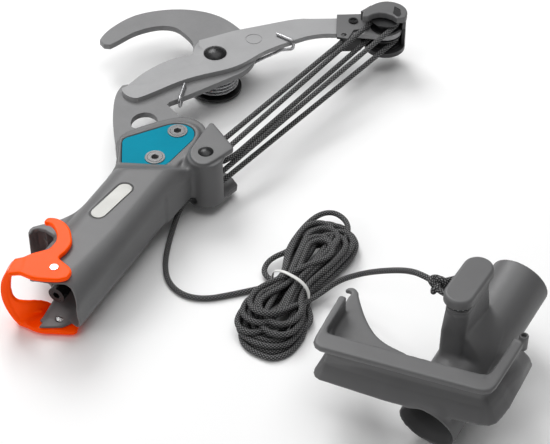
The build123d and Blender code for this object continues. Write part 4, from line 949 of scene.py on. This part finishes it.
# clearance for the lower web of the latch at the end of its swing
body = smax(body, -np.maximum(np.maximum(X + 8.6, Y + 6.2), Z + 22.0), 0.6)
body = np.maximum(body, -F.cyl(1.5, 2.5, 3.0, 22.5, 40))
body = np.maximum(body, -F.cyl(1.5, 2.5, 3.0, -40, -22.5))
housing = surface_net(F, body, "housing_shell", M["grey_plastic"], smooth=1)
del body, barrel, head_s, land_s, wing_s, tower, boss, room, mouth, hole, socket, slot, pocket, hollow
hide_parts("housing", "rope_guide_block")
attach(housing, "head")

# ------------------------------------------------------------------- latch
# drawn in its own frame: s to the left of the pin, t to the front, z up
PINX, PINY = 1.5, 2.5
SV, TV = (-0.954, -0.301), (0.301, -0.954)


def to_st(p):
    dx_, dy_ = p[0] - PINX, p[1] - PINY
    return (dx_ * SV[0] + dy_ * SV[1], dx_ * TV[0] + dy_ * TV[1])


def from_st(v):
    o_ = v.copy()
    o_[:, 0] = PINX + v[:, 0] * SV[0] + v[:, 1] * TV[0]
    o_[:, 1] = PINY + v[:, 0] * SV[1] + v[:, 1] * TV[1]
    return o_


F = Field((-19, -53, -30.9), (45, 18, 30.9), 0.5)
S_, T_, Z = F.x, F.y, F.z
arm_pts = [(-30.8, 40.6), (-31.4, 45.1), (-28.3, 47.4), (-23.3, 48.3), (-16.7, 46.8), (-10.3, 42.8), (-4.6, 36.2), (-1.1, 30.2),
           (-0.2, 22.0), (-1.2, 13.6), (3.4, 10.9), (10.4, 8.3), (14, 5.6), (15.1, 2.4), (14.8, -2.2), (10, -6.8), (0.6, -10.8), (-6.7, -13),
           (-11.5, -13.1), (-17.7, -12.9), (-21.7, -15.2), (-25, -16.8), (-26.6, -11.1), (-26.8, -2.1), (-24.0, 2.8), (-21.1, 7.8),
           (-16.7, 13.1), (-12.8, 17.4), (-12.1, 21.6), (-12.5, 27.6), (-15.9, 33.7), (-21.3, 38.9), (-26.6, 41.1)]
arm = F.slab(F.poly2([to_st(p) for p in spline2(arm_pts, closed=True, n=4)]), 25.3, 29.4, 1.1)
plate_pts = [(-23.6, -11.2), (-14.6, -12.7), (-6.0, -12.1), (2.9, -8.4), (10, -5.6), (15.2, -3.1), (16.9, -0.2), (16.1, 2.6), (14.4, 7.0),
             (11, 9.1), (-6, 14), (-14, 14.5), (-20, 12), (-27, 7), (-33, 1.5), (-33.5, -3.5), (-29.5, -8.4)]
plate = F.slab(F.poly2([to_st(p) for p in spline2(plate_pts, closed=True, n=4)]), -29.3, -25.3, 1.4)
outer = [(29.8, 29.3), (33, 25.6), (35.8, 20.9), (38.2, 15.8), (39.9, 9.9), (40.8, 1.8), (40.2, -6), (37.8, -15.1), (33.8, -23.9),
         (29.5, -29.3)]
window = [(27.3, 25.2), (29.6, 22.4), (31.4, 18.4), (32.5, 12.5), (33.2, 5.7), (32.6, 0.3), (31.0, -3.2), (28.8, -4.9)]
cee = spline2(outer, n=5) + [(22, -29.3), (16, -29.3), (11, -29.3), (9.5, -23.5), (12, -17.5), (15, -12.6), (18.8, -8.8), (24, -6.2)] \
    + spline2(window, n=5)[::-1] + [(24, 25.2), (24, 29.3)]
face = F.poly2(cee, "x", "z")
tf = 5.2 - 0.0427 * np.clip(30 - S_, 0, 30) ** 2 - 0.012 * np.clip(np.abs(S_ - 36), 0, 9) ** 1.5
tb = tf - 3.4
steep = 1 / np.sqrt(1 + (0.0854 * np.clip(30 - S_, 0, 30)) ** 2)
mid_t = (tf + tb) / 2
half = (tf - tb) / 2
dt = (np.abs(T_ - mid_t) - half) * steep
R_ = 1.3
bow = np.minimum(np.maximum(face + R_, dt + R_), 0) + np.sqrt(np.maximum(face + R_, 0) ** 2 + np.maximum(dt + R_, 0) ** 2) - R_
# the outer strap of the bow is deeper than the web below the window
strap_face = F.poly2(spline2(outer, n=5) + [(24, -29.3), (24, -25.0), (29.5, -24.0), (33.2, -15), (35.3, -6.0)]
                     + spline2([(35.9, 1.8), (35.2, 9.9), (33.6, 15.8), (31.4, 20.4), (28.6, 24.0), (26.6, 25.4)], n=4) + [(24, 25.3), (24, 29.3)], "x", "z")
dts = np.abs(T_ - 0.4) - 5.4
strap = np.minimum(np.maximum(strap_face + R_, dts + R_), 0) + np.sqrt(np.maximum(strap_face + R_, 0) ** 2 + np.maximum(dts + R_, 0) ** 2) - R_
lat = smin(bow, strap, 1.5)
lat = smin(lat, arm, 3.0)
lat = smin(lat, plate, 3.5)
lat = smax(lat, -F.rod(to_st((-12.6, 12.0)) + (-24.0,), to_st((-12.6, 12.0)) + (-18.0,), 0.01) - 50, 0.1)
# nothing above the arm or below the plate
lat = smax(lat, Z - 29.45, 0.8)
lat = smax(lat, -29.35 - Z, 0.8)
for (s0_, t0_, z0_), (s1_, t1_, z1_) in (((25.6, 2.2, -17.6), (14.9, -3.2, -20.4)), ((25.6, 1.4, -23.2), (22.0, 0.2, -23.7))):
    lat = smin(lat, F.rod((s0_, t0_, z0_), (s1_, t1_, z1_), 1.25), 0.9)
lat = np.maximum(lat, -(np.sqrt(S_ ** 2 + T_ ** 2) - 3.05 + 0 * Z))
latch_ob = surface_net(F, lat, "latch_shell", M["orange_plastic"], smooth=1, back=from_st)
del lat, arm, plate, face, bow, strap
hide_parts("latch")
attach(latch_ob, "latch")

# ------------------------------------------------------------- pull handle
F = Field((192, 0, -33), (339, 152, 66), 0.75)
X, Y, Z = F.x, F.y, F.z
top_o = [(199.2, 130), (200.0, 58), (200.8, 35), (201.6, 15), (202.4, 10.6), (204.8, 7.6), (209, 6.2), (260, 11.5), (316, 17.4),
         (321.6, 18.6), (325.9, 21.8), (327.6, 27), (329.0, 50), (331.5, 130)]
bot_o = [(202.6, 130), (203.0, 58), (202.4, 35), (202.0, 14), (202.8, 10.4), (205.2, 7.4), (209, 6.2), (258, 8.6), (308, 14.5), (322, 16.8),
         (328.4, 19.2), (332, 23.5), (333.6, 31), (335, 41), (335, 130)]
w_ = np.clip((30 - Z) / 14.0, 0, 1)
w_ = w_ * w_ * (3 - 2 * w_)
outer2 = F.poly2(top_o) * (1 - w_) + F.poly2(bot_o) * w_
d_z = np.interp(Z.ravel(), [7, 8, 9, 11, 14, 18, 23, 28, 31, 33, 34, 35, 36, 37.5, 39, 40], [0.9, 0.2, 0.4, 1.8, 4.2, 7.0, 9.0, 9.2, 7.6, 4.6, 2.6, 1.1, 0.3, 0.0, 0.25, 1.1])
d_z = d_z.reshape(Z.shape).astype(np.float32)
k_l = np.clip((Y - 10.0) / 30.0, 0, 1)
k_l = 1 - 0.82 * k_l * k_l * (3 - 2 * k_l) * np.clip((240 - X) / 25.0, 0, 1)
k_r = np.clip((Y - 48.0) / 20.0, 0, 1)
k_r = 1 - 0.8 * k_r * k_r * (3 - 2 * k_r) * np.clip((X - 300) / 15.0, 0, 1)
cove = outer2 + d_z * k_l * k_r
inner2 = F.poly2([(205.2, 140), (205.4, 58), (206.2, 25), (208, 21.6), (211, 21.4), (284, 28.8), (314, 32.2), (318.4, 34), (320.2, 38), (326.5, 140)])
frame_f = np.maximum(cove, -np.maximum(inner2, cove + 3.4))
# open ends of the frame
end_l = (Y - 58.0) - (X - 200) * 0.04 - np.maximum(40 - Z, 0) * 0.02
end_r = (Y - 73.0) - (40 - Z) * 0.38
ends = np.where(X < 262, end_l, end_r)
frame_f = smax(frame_f, ends, 1.6)
zz = np.abs(Z - 23.5) - 16.5
frame_f = smax(frame_f, zz, 1.0)
# gusset with its horn
gus_o = path2([("l", [(203, 12), (264, 24), (262, 38), (258, 40.5)]),
               ("s", [(258, 40.5), (243, 43), (232, 48), (221, 58), (212.5, 68.5), (206.5, 77)]),
               ("s", [(206.5, 77), (204.6, 80.4), (200.5, 82.8), (196.8, 81.6), (195.2, 78.6)]),
               ("l", [(195.2, 78.6), (197.2, 77.8)]),
               ("s", [(197.2, 77.8), (199.2, 78.6), (200.6, 76.4), (200.2, 73.5)]),
               ("l", [(200.2, 73.5), (201.0, 58), (203, 12)])])
gus2 = F.poly2(gus_o)
gus = F.slab(gus2, 21.6, 25.2, 1.0)
gus = np.maximum(gus, cove - np.clip((Y - 40.0) * 1.2, 0, 60))
frame_f = smin(frame_f, gus, 2.0)
# sleeve
az_, inc_ = math.radians(6.9), math.radians(13.4)
sd_ = np.array([math.sin(az_) * math.cos(inc_), math.cos(az_) * math.cos(inc_), math.sin(inc_)])
low_ = np.array([286.0, 14.5, -9.6])
vx, vy, vz = X - low_[0], Y - low_[1], Z - low_[2]
al = vx * sd_[0] + vy * sd_[1] + vz * sd_[2]
rad = np.sqrt(np.maximum(vx * vx + vy * vy + vz * vz - al * al, 0))
r_out = 21.2 + 0.8 * np.clip(al / 136.0, 0, 1)
sl_out = smax(rad - r_out, np.abs(al - 68.0) - 68.0, 0.8)
sl_bore = rad - (19.0 + 1.3 * np.clip((9.0 - al) / 9.0, 0, 1) + 0.9 * np.clip((al - 129.0) / 7.0, 0, 1))
# cleat post: rounded box on the sleeve, leaning into it with a wide fillet
ca, sa = math.cos(math.radians(86)), math.sin(math.radians(86))
px_, py_ = X - 285.5, Y - 77.5
lx, ly = px_ * ca + py_ * sa, -px_ * sa + py_ * ca
top_r = np.clip((Z - 40) / 16.0, 0, 1)
cr = 3.0 + 5.4 * top_r
grow = 0.25 * np.clip((60.5 - Z) / 60.0, 0, 1)
qx_, qy_ = np.abs(lx) - 22.0 - grow + cr, np.abs(ly) - 8.75 - grow + cr
post2 = np.minimum(np.maximum(qx_, qy_), 0) + np.sqrt(np.maximum(qx_, 0) ** 2 + np.maximum(qy_, 0) ** 2) - cr
neck_g = 0.7 * np.exp(-((Z - 60.4) / 0.9) ** 2)
post_f = F.slab(post2 + neck_g, -6, 63.4, 0.9)
post_f = smax(post_f, -rad + 20.0, 0.5)
hand = smin(sl_out, post_f, 4.0)
# fairing from the right face of the post down to the flank of the sleeve
axx = (286.0 + (Y - 14.5) * sd_[0] / sd_[1])
axz = (-9.6 + (Y - 14.5) * sd_[2] / sd_[1])
qx0, qz0 = 294.3 - axx, 37.6 - 0.0022 * (Y - 66.0) ** 2 - axz
D_ = np.sqrt(qx0 ** 2 + qz0 ** 2)
rs_ = 21.9
ph = np.arccos(np.clip(rs_ / D_, -1, 0.9999))
a0_ = np.arctan2(qz0, qx0)
nx_f, nz_f = np.cos(a0_ - ph), np.sin(a0_ - ph)
f_line = nx_f * (X - axx) + nz_f * (Z - axz) - rs_
f_past = nz_f * (X - axx) - nx_f * (Z - axz) - 1.0
fair = np.maximum(np.maximum(f_line, f_past), np.maximum(284.0 - X, Y - 98.0))
fair = smax(fair, Y - 97.0, 3.0)
fair = np.maximum(fair, axz - 1.0 - Z)
fair = smax(fair, 56.4 - Y, 5.0)
hand = smin(hand, fair, 1.8)
core = F.slab(np.sqrt(np.maximum(np.abs(lx) - 13.75, 0) ** 2 + ly ** 2) - 4.75, 60, 65.6)
hand = np.minimum(hand, core)
hand = smin(hand, frame_f, 3.5)
hand = smax(hand, -np.maximum(sl_bore, np.abs(al - 68) - 90), 0.6)
# clip knob at the end of the right rail
knob = F.cyl(328.6, 75.2, 3.3, 30, 43.6, 1.3)
hand = smin(hand, knob, 1.6)
hand = smax(hand, -F.cyl(328.6, 75.0, 1.9, 40.2, 60), 0.5)
# rail groove on the right arm
for gx_ in (321.6,):
    gro = F.rod((318.6, 30.0, 40.6), (323.6, 71.0, 40.6), 1.1)
    hand = smax(hand, -gro, 0.5)
handle_ob = surface_net(F, hand, "handle_shell", M["grey_plastic"], smooth=1)
del hand, frame_f, gus, sl_out, sl_bore, post_f, cove, outer2, knob, rad, al, vx, vy, vz, post2
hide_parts("handle_flange_top", "handle_flange_low", "handle_web", "handle_gusset", "handle_saddle", "handle_clip_post",
            "handle_sleeve", "cleat_post")
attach(handle_ob, "handle")
# ------------------------------------------------------------ light, floor
FLOOR_Z = -31.0 * MM
bpy.ops.mesh.primitive_plane_add(size=8, location=(0.2, 0.2, FLOOR_Z - 0.0002))
floor = bpy.context.object
floor.name = "studio_floor"
fm, fnt, fb = new_mat("floor_mat")
fn = fnt.nodes.new("ShaderNodeTexNoise"); fn.inputs["Scale"].default_value = 3.0
fr = fnt.nodes.new("ShaderNodeValToRGB")
fr.color_ramp.elements[0].color = (0.93, 0.93, 0.93, 1)
fr.color_ramp.elements[1].color = (0.96, 0.96, 0.96, 1)
fnt.links.new(fn.outputs["Fac"], fr.inputs["Fac"])
fnt.links.new(fr.outputs["Color"], fb.inputs["Base Color"])
fb.inputs["Roughness"].default_value = 0.9
fb.inputs["Specular IOR Level"].default_value = 0.1
floor.data.materials.append(fm)

world = bpy.data.worlds.new("studio")
world.use_nodes = True
world.node_tree.nodes["Background"].inputs["Color"].default_value = (1, 1, 1, 1)
world.node_tree.nodes["Background"].inputs["Strength"].default_value = 0.22
scene.world = world


def area(name, loc, target, size, power, color=(1, 1, 1)):
    ld = bpy.data.lights.new(name, "AREA")
    ld.shape = "SQUARE"
    ld.size = size
    ld.energy = power
    ld.color = color
    lo = bpy.data.objects.new(name, ld)
    scene.collection.objects.link(lo)
    lo.location = loc
    d = Vector(target) - Vector(loc)
    lo.rotation_euler = d.to_track_quat("-Z", "Y").to_euler()
    return lo


area("key", (-1.15, 1.15, 1.7), (0.1, 0.2, 0), 1.1, 30)
area("fill", (-0.9, -1.3, 1.1), (0.1, 0.2, 0), 1.0, 7)
area("top", (0.1, 0.45, 2.3), (0.12, 0.2, 0), 2.2, 31)
scene.view_settings.view_transform = "Standard"
